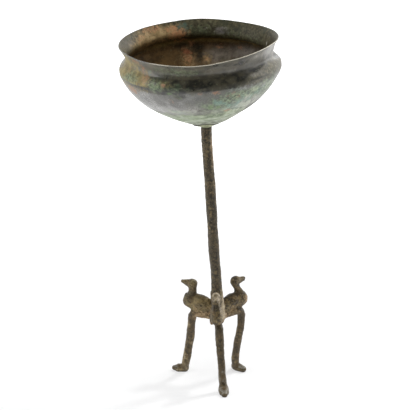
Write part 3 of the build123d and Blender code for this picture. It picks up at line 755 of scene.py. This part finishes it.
        "lip": np.where(side == 0, 0.8, np.where((side > 0) & (h0 > 77.6), 0.5, 0)) * (0.3 + 0.7 * front) * np.maximum(step(0.25, 0.5, fleck), step(10, 40, deg) * step(110, 95, deg)) * (1 - 0.8 * step(-28, -48, deg)),
    }
    edge = np.exp(-(((h0 - 55.9) / 0.9) ** 2)) * step(36, 42, deg) * step(64, 54, deg) * out
    masks["olive"] = masks["olive"] * (1 - 0.85 * np.maximum(junction_shade, edge))
    masks["green"] = masks["green"] * (1 - 0.7 * edge)
    masks["tan"] = masks["tan"] * (1 - 0.85 * ridge_shade)
    masks["orange"] = masks["orange"] * (1 - 0.5 * ridge_shade)
    clear = np.maximum.reduce([masks["tan"], masks["olive"], 0.7 * masks["green"]])
    # The painted shade of the ridge and of the neck junction, and the line above the shoulder's widest point, go into
    # the dark mask.
    masks["dark"] = np.maximum(masks["dark"] * (1 - 0.85 * step(0.25, 0.7, clear)), np.maximum.reduce([0.85 * ridge_shade, 0.8 * junction_shade, 0.65 * edge]))
    shown = np.maximum(masks["tan"], masks["orange"])
    masks["painted_fill_light"] = masks["painted_fill_light"] * (1 - 0.7 * step(0.3, 0.7, shown))
    masks["brown"] = masks["brown"] * (1 - 0.6 * step(0.3, 0.8, masks["grey_and_painted_light"]))
    masks["grey_and_painted_light"] = masks["grey_and_painted_light"] * (1 - 0.6 * masks["painted_pocket_shade"])
    within = (side1 < 0) | (np.roll(side1, -1) < 0)
    make("bowl_shell", p, grid_faces(NU, nv), "bowl", LOOK_BOWL, masks, LOOK_INSIDE, np.repeat(within, NU))


build_bowl()


# ---------------------------------------------------------------- lathed fittings on the bowl's axis
def lathe(profile, up, rt, origin, nu, rough, seed):
    """Closed ring of (r, h) turned about an axis, roughened by noise."""
    prof = np.asarray(profile, float)
    th = np.tile(np.linspace(0, 2 * math.pi, nu, endpoint=False), len(prof))
    r = np.repeat(prof[:, 0], nu)
    h = np.repeat(prof[:, 1], nu)
    bk = np.array([0.0, 1.0, 0.0])
    p = origin + h[:, None] * up + (r * np.sin(th))[:, None] * rt - (r * np.cos(th))[:, None] * bk
    n = ring_normals(p, nu, len(prof))
    p = p + (rough * fbm(p, 3.2, 3, seed))[:, None] * n
    return p, grid_faces(nu, len(prof)), th, r, h


def dense(pts, gap):
    out = []
    for a, b in zip(pts, pts[1:] + pts[:1]):
        k = max(1, int(round(math.dist(a, b) / gap)))
        out += [tuple(np.array(a) + (np.array(b) - a) * i / k) for i in range(k)]
    return out


def build_collar():
    ring = [(2.0, 0.0), (5.0, 0.0), (5.8, 0.4), (7.3, 1.05), (9.2, 1.75), (11.2, 2.5), (12.5, 3.0), (12.7, 3.2), (12.3, 3.25), (11.0, 2.78), (2.0, 2.78)]
    p, f, th, r, h = lathe(dense(ring, 0.4), BOWL_UP, BOWL_RT, SEAT, 128, 0.16, 61)
    p = p + (bottom_rise(th, r) * step(0.0, 2.6, h))[:, None] * BOWL_UP + np.array([0.55, 0, 0])
    n = fbm(p, 6, 3, 62) * 0.5 + 0.5
    # dark: painted shadow line along the top edge under the bowl, heavier on the right; darker along the bottom ring;
    # random dark spots
    masks = {"dark": np.maximum(step(2.45, 2.75, h + 0.35 * np.clip(np.sin(th), 0, 1)), 0.35 * step(0.5, 0.0, h) + 0.3 * step(0.55, 0.7, n))}
    make("bowl_seat_collar_cone", p, f, "bowl_seat_collar", LOOK_COLLAR, masks)


def build_rove():
    ring = [(2.0, 1.35), (8.3, 1.35), (8.7, 1.7), (8.55, 2.4), (8.0, 2.85), (6.0, 2.95), (2.0, 2.95)]
    p, f, th, r, h = lathe(dense(ring, 0.4), BOWL_UP, BOWL_RT, BASE, 112, 0.12, 65)
    p = p + bottom_rise(th, r)[:, None] * BOWL_UP
    wob = 0.35 * vnoise(np.stack([5 * np.sin(th), 5 * np.cos(th), 0 * th], 1), 4.0, 66) * step(5, 8, r)
    p = p + (wob * np.sin(th))[:, None] * BOWL_RT - (wob * np.cos(th))[:, None] * BOWL_BK
    n = fbm(p, 6, 3, 67) * 0.5 + 0.5
    z = np.zeros(len(p))
    masks = {"brown": z + 0.6, "green": 0.8 * step(0.55, 0.7, n), "orange": 0.7 * step(0.4, 0.25, n)}
    make("bowl_rove_washer", p, f, "bowl_rove", LOOK_INSIDE, masks)


build_collar()
build_rove()


# ---------------------------------------------------------------- the stem
STEM_LINE = [
    (15.75, 0, 85.2, 5.35), (15.7, 0, 88.9, 5.1), (14.95, 0, 104.7, 4.9), (14.1, 0, 112.6, 4.9), (13.35, 0, 120.5, 5.05), (12.3, 0, 136.2, 4.75),
    (11.5, 0, 151.9, 4.55), (11.15, 0, 159.8, 4.7), (10.2, 0, 175.4, 4.85), (9.35, 0, 191.0, 4.95), (8.6, 0, 198.7, 4.9), (7.5, 0, 214.2, 4.9),
    (6.55, 0, 229.7, 5.05), (6.2, 0, 239.0, 4.95), (6.15, 0, 246.9, 4.85),
]


def build_stem():
    body = spline(STEM_LINE, 400)
    low = lambda z, r: (*(AXIS0 + z * STEM_UP), r)
    top = lambda h, r: (*(BASE + h * BOWL_UP), r)
    foot = [low(-7.9, 0.4), low(-7.8, 2.0), low(-7.4, 3.2), low(-6.8, 4.1), low(-6.2, 4.5), low(-6.02, 4.4), low(-6.0, 3.0)]
    foot += [low(z, 3.0) for z in np.linspace(-5, 23, 30)] + [low(23.9, 3.0), low(23.95, 4.9)]
    head = [top(-2.92, 4.6), top(-2.9, 1.9)] + [top(h, 1.9) for h in np.linspace(-2.6, 2.7, 14)]
    head += [top(2.96, 1.9), top(2.98, 3.7), top(3.3, 3.9), top(3.9, 3.55), top(4.5, 2.8), top(4.9, 1.6), top(5.0, 0.4)]
    line = np.vstack([foot, body, head])
    nu = 72
    nv = len(line)
    th = np.tile(np.linspace(0, 2 * math.pi, nu, endpoint=False), nv)
    c = np.repeat(line[:, :3], nu, axis=0)
    r = np.repeat(line[:, 3], nu)
    z = c[:, 2]
    ups = np.where((np.repeat(np.arange(nv), nu) >= len(foot) + len(body))[:, None], BOWL_RT, STEM_RT)
    out = np.sin(th)[:, None] * ups - np.cos(th)[:, None] * np.array([0.0, 1.0, 0.0])
    p0 = c + r[:, None] * out
    free = step(85, 90, z) * step(247, 245, z)
    around = np.stack([4.6 * np.sin(th), -4.6 * np.cos(th), z], 1)
    flat = 0.22 * vnoise(around * np.array([1, 1, 0.25]), 4.2, 71) + 0.30 * vnoise(around * np.array([1, 1, 0.4]), 9, 72)
    bump = 0.24 * fbm(around, 3.0, 3, 73)
    pit = -0.55 * step(0.46, 0.16, cells(around, 3.6, 74)) * step(-0.15, 0.3, vnoise(around, 13, 75))
    pit += -0.22 * step(0.42, 0.16, cells(around, 1.9, 76)) * step(-0.1, 0.3, vnoise(around, 9, 77))
    d = (flat + bump + pit) * (0.06 + 0.94 * free)
    small = np.where(r < 4.0, 0.15, 1.0)
    p = p0 + (d * small)[:, None] * out
    faces = grid_faces(nu, nv, wrap_v=False)
    caps = [list(range(nu))[::-1], [(nv - 1) * nu + k for k in range(nu)]]
    n1 = fbm(around, 10, 3, 81) * 0.5 + 0.5
    n2 = fbm(around, 7, 3, 82) * 0.5 + 0.5
    rt = np.sin(th)
    masks = {
        "khaki": np.maximum.reduce([0.35 * step(0.55, 0.75, n1), 0.25 * step(120, 95, z), 0.3 * step(190, 210, z)]),
        "green": 0.3 * step(0.6, 0.76, n2),
        "red": np.maximum(0.8 * step(0.35, 0.9, rt) * step(203, 212, z) * step(243, 232, z), 0.4 * step(0.6, 0.75, n1 * 0.5 + n2 * 0.5)),
        # beige: painted light on the stem's right side just above the hub
        "beige_and_painted_light": 0.6 * step(84, 86, z) * step(92, 87, z) * step(0.3, 0.8, rt),
        # dark: random dark patches, and painted shade on the stem just under the collar
        "dark": np.maximum(0.35 * step(0.42, 0.26, n2), 0.7 * step(243, 246, z) * step(249, 247.3, z)),
    }
    faces = faces.tolist() + caps
    make("stem_rod", p, faces, "stem", LOOK_STEM, masks)


build_stem()


# ---------------------------------------------------------------- the tripod
def radial(az, r, z):
    a = math.radians(az)
    return np.array([HUB_X + r * math.sin(a), -r * math.cos(a), z])


LEGS = {
    "front": {
        "az": 0.0, "arm_az": 3.6, "arm_r": 3.7, "knee": 22.5, "ankle": (5.9, -36.4, 3.6),
        "foot": [(6.1, -37.2, 2.4, 4.9), (6.4, -42.0, 2.4, 4.6), (6.9, -47.4, 1.9, 2.7)],
        "line": [(1.9, -25.9, 59.0, 4.0), (2.2, -27.05, 51.97, 3.85), (2.7, -28.34, 44.55, 3.7), (3.1, -29.63, 37.12, 3.7), (3.8, -30.92, 29.69, 3.6),
                 (4.35, -32.21, 22.26, 3.5), (4.7, -33.51, 14.81, 3.55), (5.1, -34.15, 11.09, 3.4), (5.5, -34.8, 7.37, 3.5)],
    },
    "right": {
        "az": 126.0, "arm_az": 126.0, "arm_r": 3.6, "knee": 24.4, "ankle": (17.4, 16.6, 4.2),
        "foot": [(17.2, 19.4, 3.3, 3.7), (20.8, 15.9, 2.9, 3.8), (24.2, 13.1, 2.6, 3.2)],
        "line": [(22.6, 16.2, 58.0, 3.8), (22.5, 16.11, 53.4, 3.75), (22.3, 15.97, 46.71, 3.6), (21.1, 15.84, 38.74, 3.6), (19.6, 15.7, 30.76, 3.45),
                 (18.4, 15.56, 22.76, 3.45), (17.35, 15.5, 14.76, 3.6), (17.2, 15.8, 9.5, 3.5)],
    },
    "left": {
        "az": -112.0, "arm_az": -112.0, "arm_r": 3.6, "knee": 22.6, "ankle": (-29.7, 13.9, 4.6),
        "foot": [(-30.3, 15.2, 3.0, 3.9), (-35.2, 15.7, 2.7, 4.1), (-39.7, 16.7, 2.6, 2.3)],
        "line": [(-22.9, 9.6, 57.8, 4.05), (-23.3, 9.85, 53.18, 4.05), (-23.75, 10.11, 49.05, 3.9), (-24.3, 10.78, 40.77, 3.95), (-25.25, 11.45, 32.47, 3.85),
                 (-26.6, 12.12, 24.16, 3.75), (-27.65, 12.8, 15.83, 3.9), (-28.8, 13.3, 10.4, 3.85)],
    },
}


def arm_pts(leg):
    a = LEGS[leg]
    pts = [(*radial(a["arm_az"], r, ARM_Z), a["arm_r"] + 0.5 * (1 - r / a["knee"])) for r in np.linspace(0, a["knee"], 5)]
    return pts


def leg_pts(leg):
    a = LEGS[leg]
    rel = lambda q: (q[0] + HUB_X, q[1], q[2], q[3])
    pts = arm_pts(leg)[1:] + [rel(q) for q in a["line"]] + [rel((*a["ankle"], 3.2))]
    return [tuple(q) for q in spline(pts, 26)]


LEG_LINE = {k: leg_pts(k) for k in LEGS}


def sd_hub(p):
    q = p - AXIS0
    z = q @ STEM_UP
    rad = np.sqrt(np.maximum((q * q).sum(1) - z * z, 0))
    want = np.interp(z, [-6.4, -5.6, -4.4, 0, 9, 16, 24.4], [4.0, 4.7, 5.1, 5.7, 6.4, 6.1, 5.3])
    side = (rad - want) * 0.985
    ends = np.maximum(-6.3 - z, z - 24.2)
    return np.where((side < 0) | (ends < 0), np.maximum(side, ends), np.hypot(np.maximum(side, 0), np.maximum(ends, 0)))


def sd_arm(p, leg):
    return sd_tube(p, arm_pts(leg))


def sd_leg(p, leg):
    a = LEGS[leg]
    d = sd_tube(p, LEG_LINE[leg])
    foot = [(q[0] + HUB_X, *q[1:]) for q in a["foot"]]
    d = smin(d, sd_tube(p, foot), 2.4)
    return np.maximum(d, -p[:, 2])


# r outward from the hub axis and z above the floor, as (r, z, radius) for bills and necks
DUCKS = {
    "front": {"head": (24.4, 89.1), "bill": ((26.0, 88.7, 3.6), (31.4, 87.9, 2.4)), "neck": (25.4, 82.0, 3.6), "breast": (27.0, 70.2, 7.6), "body": (19.6, 72.2), "lean": 4.0, "tilt": -0.055, "seat": 5},
    "right": {"head": (21.0, 91.2), "bill": ((23.6, 91.0, 3.9), (29.8, 91.5, 2.35)), "neck": (22.8, 83.6, 3.05), "breast": (27.3, 71.8, 6.3), "body": (19.0, 72.8), "lean": 7.0},
    "left": {"head": (24.0, 89.7), "bill": ((26.6, 89.5, 4.3), (34.4, 90.9, 1.75)), "neck": (24.1, 81.8, 3.55), "breast": (27.2, 72.3, 6.5), "body": (19.0, 72.8), "lean": 6.0, "knob": (30.2, 77.6, 1.9)},
}


def sd_duck(p, leg):
    a = LEGS[leg]["az"]
    d = DUCKS[leg]
    az = math.radians(a)
    fwd = np.array([math.sin(az), -math.cos(az), 0.0])
    sid = np.array([math.cos(az), math.sin(az), 0.0])
    up = np.array([0.0, 0.0, 1.0])
    t = math.radians(d["lean"])
    bf = fwd * math.cos(t) + up * math.sin(t)
    bu = -fwd * math.sin(t) + up * math.cos(t)
    at = lambda r, z: radial(a, r, z) + d.get("tilt", 0.0) * (z - 66.0) * sid
    hub = radial(a, 0.0, 0.0)
    slim = p + np.outer(((p - hub) @ sid) * (1 / 0.84 - 1), sid)
    br, bz, bs = d["breast"]
    hr, hz = d["head"]
    nr, nz, ns = d["neck"]
    body = sd_ball(p, at(*d["body"]), (12.6, 5.4, 7.0), np.stack([bf, sid, bu]))
    body = smin(body, sd_ball(p, at(br, bz), (6.7, 5.5, bs), np.stack([fwd, sid, up])), 3.0)
    body = smin(body, sd_cone(slim, at(15.5, 72.4), at(6.0, 70.2), 6.0, 5.0) * 0.9, 3.0)
    neck = sd_tube(p, [(*at(26.6, 76.0), 4.6), (*at(0.5 * (nr + 26.0), 0.5 * (nz + 77.6)), 0.5 * (ns + 4.2)), (*at(nr, nz), ns), (*at(hr + 0.2, hz - 3.2), ns + 0.35)])
    body = smin(body, neck, 2.2)
    body = smin(body, sd_ball(p, at(hr, hz), (4.7, 4.2, 4.6), np.stack([fwd, sid, up])), 1.5)
    if "knob" in d:
        kr, kz, ks = d["knob"]
        body = smin(body, sd_ball(p, at(kr, kz), (ks, 1.4 * ks, ks)), 1.2)
    (r0, z0, a0), (r1, z1, a1) = d["bill"]
    return smin(body, sd_cone(slim, at(r0, z0), at(r1, z1), a0, a1) * 0.92, 1.3)


def roughen(seed, amp=1.0):
    def f(v, n):
        quiet = 0.25 + 0.75 * step(5, 11, v[:, 2])
        d = 0.3 * fbm(v, 4.2, 3, seed) + 0.36 * vnoise(v, 10, seed + 3)
        d -= 0.5 * step(0.45, 0.15, cells(v, 3.4, seed + 5)) * step(-0.1, 0.35, vnoise(v, 11, seed + 7))
        d -= 0.20 * step(0.42, 0.15, cells(v, 1.8, seed + 9)) * step(-0.1, 0.35, vnoise(v, 8, seed + 11))
        return amp * quiet * d
    return f


STEP_MM = 0.42


def common_masks(v, seed):
    n1 = fbm(v, 9, 3, seed) * 0.5 + 0.5
    n2 = fbm(v, 6, 3, seed + 1) * 0.5 + 0.5
    return n1, n2


def near_hub(v):
    return np.hypot(v[:, 0] - HUB_X - 1.0, v[:, 1])


def build_hub():
    arms = list(LEGS)

    def f(p):
        h = sd_hub(p)
        d = h
        for k in arms:
            d = np.minimum(d, smin(h, sd_arm(p, k) + 0.05, 3.0))
        d = np.maximum(d, h - 2.6)
        stem = sd_tube(p, [(*(AXIS0 + 23.5 * STEM_UP), 5.3), (*(AXIS0 + 31 * STEM_UP), 4.7)])
        d = np.maximum(smin(d, stem, 2.0), (p - AXIS0) @ STEM_UP - 25.5)
        lump = sd_ball(p, radial(-60, 5.4, 57.2), (2.0, 2.0, 3.6))
        d = smin(d, lump, 2.0)
        for k in arms:
            d = np.maximum(d, -(sd_arm(p, k) + 0.8))
        core = sd_tube(p, [(*(AXIS0 - 9 * STEM_UP), 2.95), (*(AXIS0 + 23.9 * STEM_UP), 2.95)])
        return np.maximum(d, -core)

    v, q, n = carve(f, (HUB_X - 12, -12, 51), (HUB_X + 13, 12, 90), STEP_MM, roughen(101, 0.8))
    n1, n2 = common_masks(v, 111)
    az = np.arctan2(v[:, 0] - HUB_X - 1.0, -v[:, 1])
    rt = np.exp(-(((az - math.radians(62)) / 0.7) ** 2))
    masks = {
        # beige: painted light on the hub's right side, where the key light falls
        "beige_and_painted_light": 0.95 * rt * step(55, 64, v[:, 2]) * step(90, 80, v[:, 2]),
        "red": 0.8 * step(0.4, 0.6, n1) * step(74, 64, v[:, 2]),
        "green": 0.7 * step(0.6, 0.74, n2),
        "khaki": 0.5 * step(0.5, 0.7, n2),
        "dark": 0.8 * step(0.42, 0.28, n1),
    }
    make("tripod_hub_socket", v, q, "tripod_hub", LOOK_TRIPOD, masks)


def build_leg(leg, seed):
    pts = np.array(LEG_LINE[leg])
    foot = np.array([(HUB_X + q[0], q[1], 0.0) for q in LEGS[leg]["foot"]])
    lo = np.minimum(pts[:, :3].min(0), foot.min(0)) - 6.0
    hi = np.maximum(pts[:, :3].max(0), foot.max(0)) + 6.0
    lo[2] = -0.63
    v, q, n = carve(lambda p: sd_leg(p, leg), lo, hi, STEP_MM, roughen(seed))
    n1, n2 = common_masks(v, seed + 20)
    z = v[:, 2]
    masks = {
        "khaki": np.maximum({"left": 0.55, "front": 0.2, "right": 0.35}[leg] * step(0.5, 0.72, n1), 0.25 * step(9, 3, z)),
        "green": np.maximum(0.3 * step(0.56, 0.74, n2), 0.35 * step(8, 2, z)),
        "red": np.maximum({"left": 1.0, "front": 0.6, "right": 0.5}[leg] * step(30, 19, near_hub(v)) * step(51, 57, z) * (0.65 + 0.35 * step(0.3, 0.6, n1)), {"left": 0.4, "front": 0.15, "right": 0.3}[leg] * step(0.6, 0.72, n2)),
        "beige_and_painted_light": {"left": 0.35, "front": 0.15, "right": 0.15}[leg] * step(0.55, 0.75, n1),
        # grey: painted top light on the upward faces of the feet, and random grey patina on the front leg
        "grey_and_painted_light": np.maximum({"left": 0.4, "front": 0.85, "right": 0.95}[leg] * step(0.1, 0.7, n[:, 2]) * step(9, 4, z), 0.5 * (leg == "front") * step(36, 14, z) * step(0.3, 0.55, n1)),
        # dark: random dark patches, painted shade along the foot bottoms at the floor, and the painted shadow of the
        # duck's breast on the front leg's top
        "dark": np.maximum.reduce([0.35 * step(0.42, 0.28, n2), 0.75 * step(3.4, 0.8, z), 0.5 * (leg == "front") * step(50, 58, z) * step(15, 20, near_hub(v))]),
    }
    make(f"leg_{leg}_limb", v, q, f"leg_{leg}", LOOK_TRIPOD, masks)


def build_duck(leg, seed):
    a = LEGS[leg]["az"]
    pts = np.array([radial(a, 4, 62), radial(a, 37, 62)])
    lo = pts.min(0) - 9.5
    hi = pts.max(0) + 9.5
    lo[2], hi[2] = 57.5, 97.5

    def f(p):
        d = sd_duck(p, leg)
        arm = sd_tube(p, LEG_LINE[leg][:8])
        seat = sd_tube(p, LEG_LINE[leg][:DUCKS[leg].get("seat", 8)])
        e = smin(d, np.maximum(seat + 0.4, d - 6.5), 6.0)
        e = np.maximum(e, d - 4.8)
        e = np.maximum(e, -(arm + 0.8))
        return np.maximum(e, -(sd_hub(p) + 0.8))

    v, q, n = carve(f, lo, hi, STEP_MM, roughen(seed, 1.5))
    n1, n2 = common_masks(v, seed + 20)
    z = v[:, 2]
    r = near_hub(v)
    masks = {
        "khaki": {"left": 0.9, "front": 0.4, "right": 0.35}[leg] * step(0.3, 0.55, n1) * (1 - 0.4 * step(83, 88, z)),
        "green": {"left": 0.55, "front": 0.35, "right": 0.4}[leg] * step(0.5, 0.68, n2),
        "red": np.maximum({"left": 1.0, "front": 0.75, "right": 0.4}[leg] * step(28, 16, r) * step(74, 66, z) * step(0.22, 0.5, n2), 0.85 * (leg == "right") * step(25, 30, r) * step(81, 75, z) * step(0.3, 0.55, n1)),
        # beige: painted top light on the head, and painted light on the front duck's right side
        "beige_and_painted_light": np.maximum({"left": 0.15, "front": 0.55, "right": 0.15}[leg] * step(83, 93, z + 2.0 * n[:, 2] + 5.0 * (n1 - 0.5)), 0.5 * (leg == "front") * step(0.35, 0.8, n[:, 0]) * step(64, 70, z)),
        # grey: painted top light on the upward faces of the head
        "grey_and_painted_light": {"left": 0.25, "front": 0.3, "right": 0.35}[leg] * step(86, 95, z + 2.5 * n[:, 2]),
        # dark: random dark patches, fewer low by the hub, and the painted shadow on the neck under the head
        "dark": np.maximum({"left": 0.5, "front": 0.6, "right": 0.8}[leg] * step(0.48, 0.3, n2) * (1 - 0.7 * step(26, 16, r) * step(72, 66, z)), {"left": 0.55, "front": 0.7, "right": 0.55}[leg] * step(86, 82, z) * step(75, 79, z)),
    }
    make(f"duck_{leg}_figure", v, q, f"duck_{leg}", LOOK_DUCK, masks)


build_hub()
for k, name in enumerate(LEGS):
    build_leg(name, 201 + 50 * k)
    build_duck(name, 401 + 50 * k)


# ---------------------------------------------------------------- stage, light and camera
def plane(name, w, d, place, turn=(0, 0, 0)):
    me = bpy.data.meshes.new(name)
    me.from_pydata([(-w / 2, -d / 2, 0), (w / 2, -d / 2, 0), (w / 2, d / 2, 0), (-w / 2, d / 2, 0)], [], [(0, 1, 2, 3)])
    ob = bpy.data.objects.new(name, me)
    ob.location = place
    ob.rotation_euler = turn
    bpy.context.scene.collection.objects.link(ob)
    return ob


FLOOR_GLOW, FLOOR_NEAR, FLOOR_FAR = 0.8, 0.58, 1.0


def floor_look():
    mat = bpy.data.materials.new("studio_floor")
    mat.use_nodes = True
    nt = mat.node_tree
    nt.nodes.clear()
    new = nt.nodes.new
    out, add, pick = new("ShaderNodeOutputMaterial"), new("ShaderNodeAddShader"), new("ShaderNodeMixShader")
    path, spot, size, fade = new("ShaderNodeLightPath"), new("ShaderNodeTexCoord"), new("ShaderNodeVectorMath"), new("ShaderNodeMapRange")
    size.operation = "LENGTH"
    fade.interpolation_type = "SMOOTHSTEP"
    for k, v in ((1, 0.25), (2, 0.75), (3, FLOOR_NEAR), (4, FLOOR_FAR)):
        fade.inputs[k].default_value = v
    around, seen, df = new("ShaderNodeEmission"), new("ShaderNodeEmission"), new("ShaderNodeBsdfDiffuse")
    around.inputs["Strength"].default_value = FLOOR_GLOW
    df.inputs["Color"].default_value = (0.4, 0.4, 0.4, 1)
    link = nt.links.new
    link(spot.outputs["Object"], size.inputs[0])
    link(size.outputs["Value"], fade.inputs[0])
    link(fade.outputs[0], seen.inputs["Strength"])
    link(path.outputs["Is Camera Ray"], pick.inputs[0])
    link(around.outputs[0], pick.inputs[1])
    link(seen.outputs[0], pick.inputs[2])
    link(pick.outputs[0], add.inputs[0])
    link(df.outputs[0], add.inputs[1])
    link(add.outputs[0], out.inputs[0])
    return mat


def glow_look(name, strength, color=(1, 1, 1)):
    mat = bpy.data.materials.new(name)
    mat.use_nodes = True
    nt = mat.node_tree
    nt.nodes.clear()
    out = nt.nodes.new("ShaderNodeOutputMaterial")
    em = nt.nodes.new("ShaderNodeEmission")
    em.inputs["Color"].default_value = (*color, 1)
    em.inputs["Strength"].default_value = strength
    nt.links.new(em.outputs[0], out.inputs[0])
    return mat


floor = plane("studio_floor", 24, 24, (0, 0, 0))
floor.data.materials.append(floor_look())
front = plane("studio_dark_front", 6, 3.6, (0, -2.25, 0.004))
front.data.materials.append(glow_look("studio_dark", 0.03))
front.visible_camera = False
front.visible_diffuse = False
front.visible_shadow = False
front.visible_transmission = False

back = plane("studio_backdrop", 7, 3.2, (0, 2.6, 1.75), (math.pi / 2, 0, 0))
back.data.materials.append(glow_look("studio_pale", 1.7))
back.visible_camera = False
back.visible_diffuse = False
back.visible_shadow = False
back.visible_transmission = False

sweep = plane("studio_sweep", 7, 2.0, (0, 1.6, 0.004))
sweep.data.materials.append(glow_look("studio_bright", 1.1))
sweep.visible_camera = False
sweep.visible_diffuse = False
sweep.visible_shadow = False
sweep.visible_transmission = False

world = bpy.data.worlds.new("studio_world")
bpy.context.scene.world = world
world.use_nodes = True
wt = world.node_tree
wt.nodes.clear()
w_out = wt.nodes.new("ShaderNodeOutputWorld")
w_path = wt.nodes.new("ShaderNodeLightPath")


def sky(strength, color):
    n = wt.nodes.new("ShaderNodeBackground")
    n.inputs["Color"].default_value = (*color, 1)
    n.inputs["Strength"].default_value = strength
    return n.outputs[0]


def choose(fac, a, b):
    n = wt.nodes.new("ShaderNodeMixShader")
    wt.links.new(fac, n.inputs[0])
    wt.links.new(a, n.inputs[1])
    wt.links.new(b, n.inputs[2])
    return n.outputs[0]


w_room = choose(w_path.outputs["Is Glossy Ray"], sky(0.3, (0.95, 0.97, 1.0)), sky(0.07, (0.95, 0.97, 1.0)))
wt.links.new(choose(w_path.outputs["Is Camera Ray"], w_room, sky(1.05, (1, 1, 1))), w_out.inputs[0])


def area(name, place, aim, w, h, power, color=(1, 1, 1)):
    la = bpy.data.lights.new(name, "AREA")
    la.shape = "RECTANGLE"
    la.size, la.size_y = w, h
    la.energy = power
    la.color = color
    ob = bpy.data.objects.new(name, la)
    ob.location = place
    ob.rotation_euler = (Vector(aim) - Vector(place)).to_track_quat("-Z", "Y").to_euler()
    bpy.context.scene.collection.objects.link(ob)
    return ob


key = area("key_back_right", (0.85, 0.77, 1.7), (0, 0, 0.15), 0.2, 0.2, 16)
top = area("top_soft", (0.0, -0.3, 1.9), (0, 0, 0.3), 1.5, 1.2, 17)
key.visible_glossy = False
top.visible_glossy = False
area("side_left", (-1.5, -0.1, 0.6), (0, 0, 0.25), 0.8, 1.2, 9)
area("side_right", (1.35, 0.65, 0.68), (0, 0, 0.25), 0.8, 1.2, 12.5)

cam = bpy.data.cameras.new("photo_camera")
cam.sensor_width = 36.0
cam.lens = 344.71
cam.clip_end = 60
cam_ob = bpy.data.objects.new("photo_camera", cam)
bpy.context.scene.collection.objects.link(cam_ob)
EL = math.radians(20)
AIM = Vector((4.734, 0, 170.498)) / 1000
cam_ob.location = AIM + 3.6 * Vector((0, -math.cos(EL), math.sin(EL)))
cam_ob.rotation_euler = (AIM - cam_ob.location).to_track_quat("-Z", "Y").to_euler()
bpy.context.scene.camera = cam_ob
bpy.context.scene.view_settings.view_transform = "Standard"
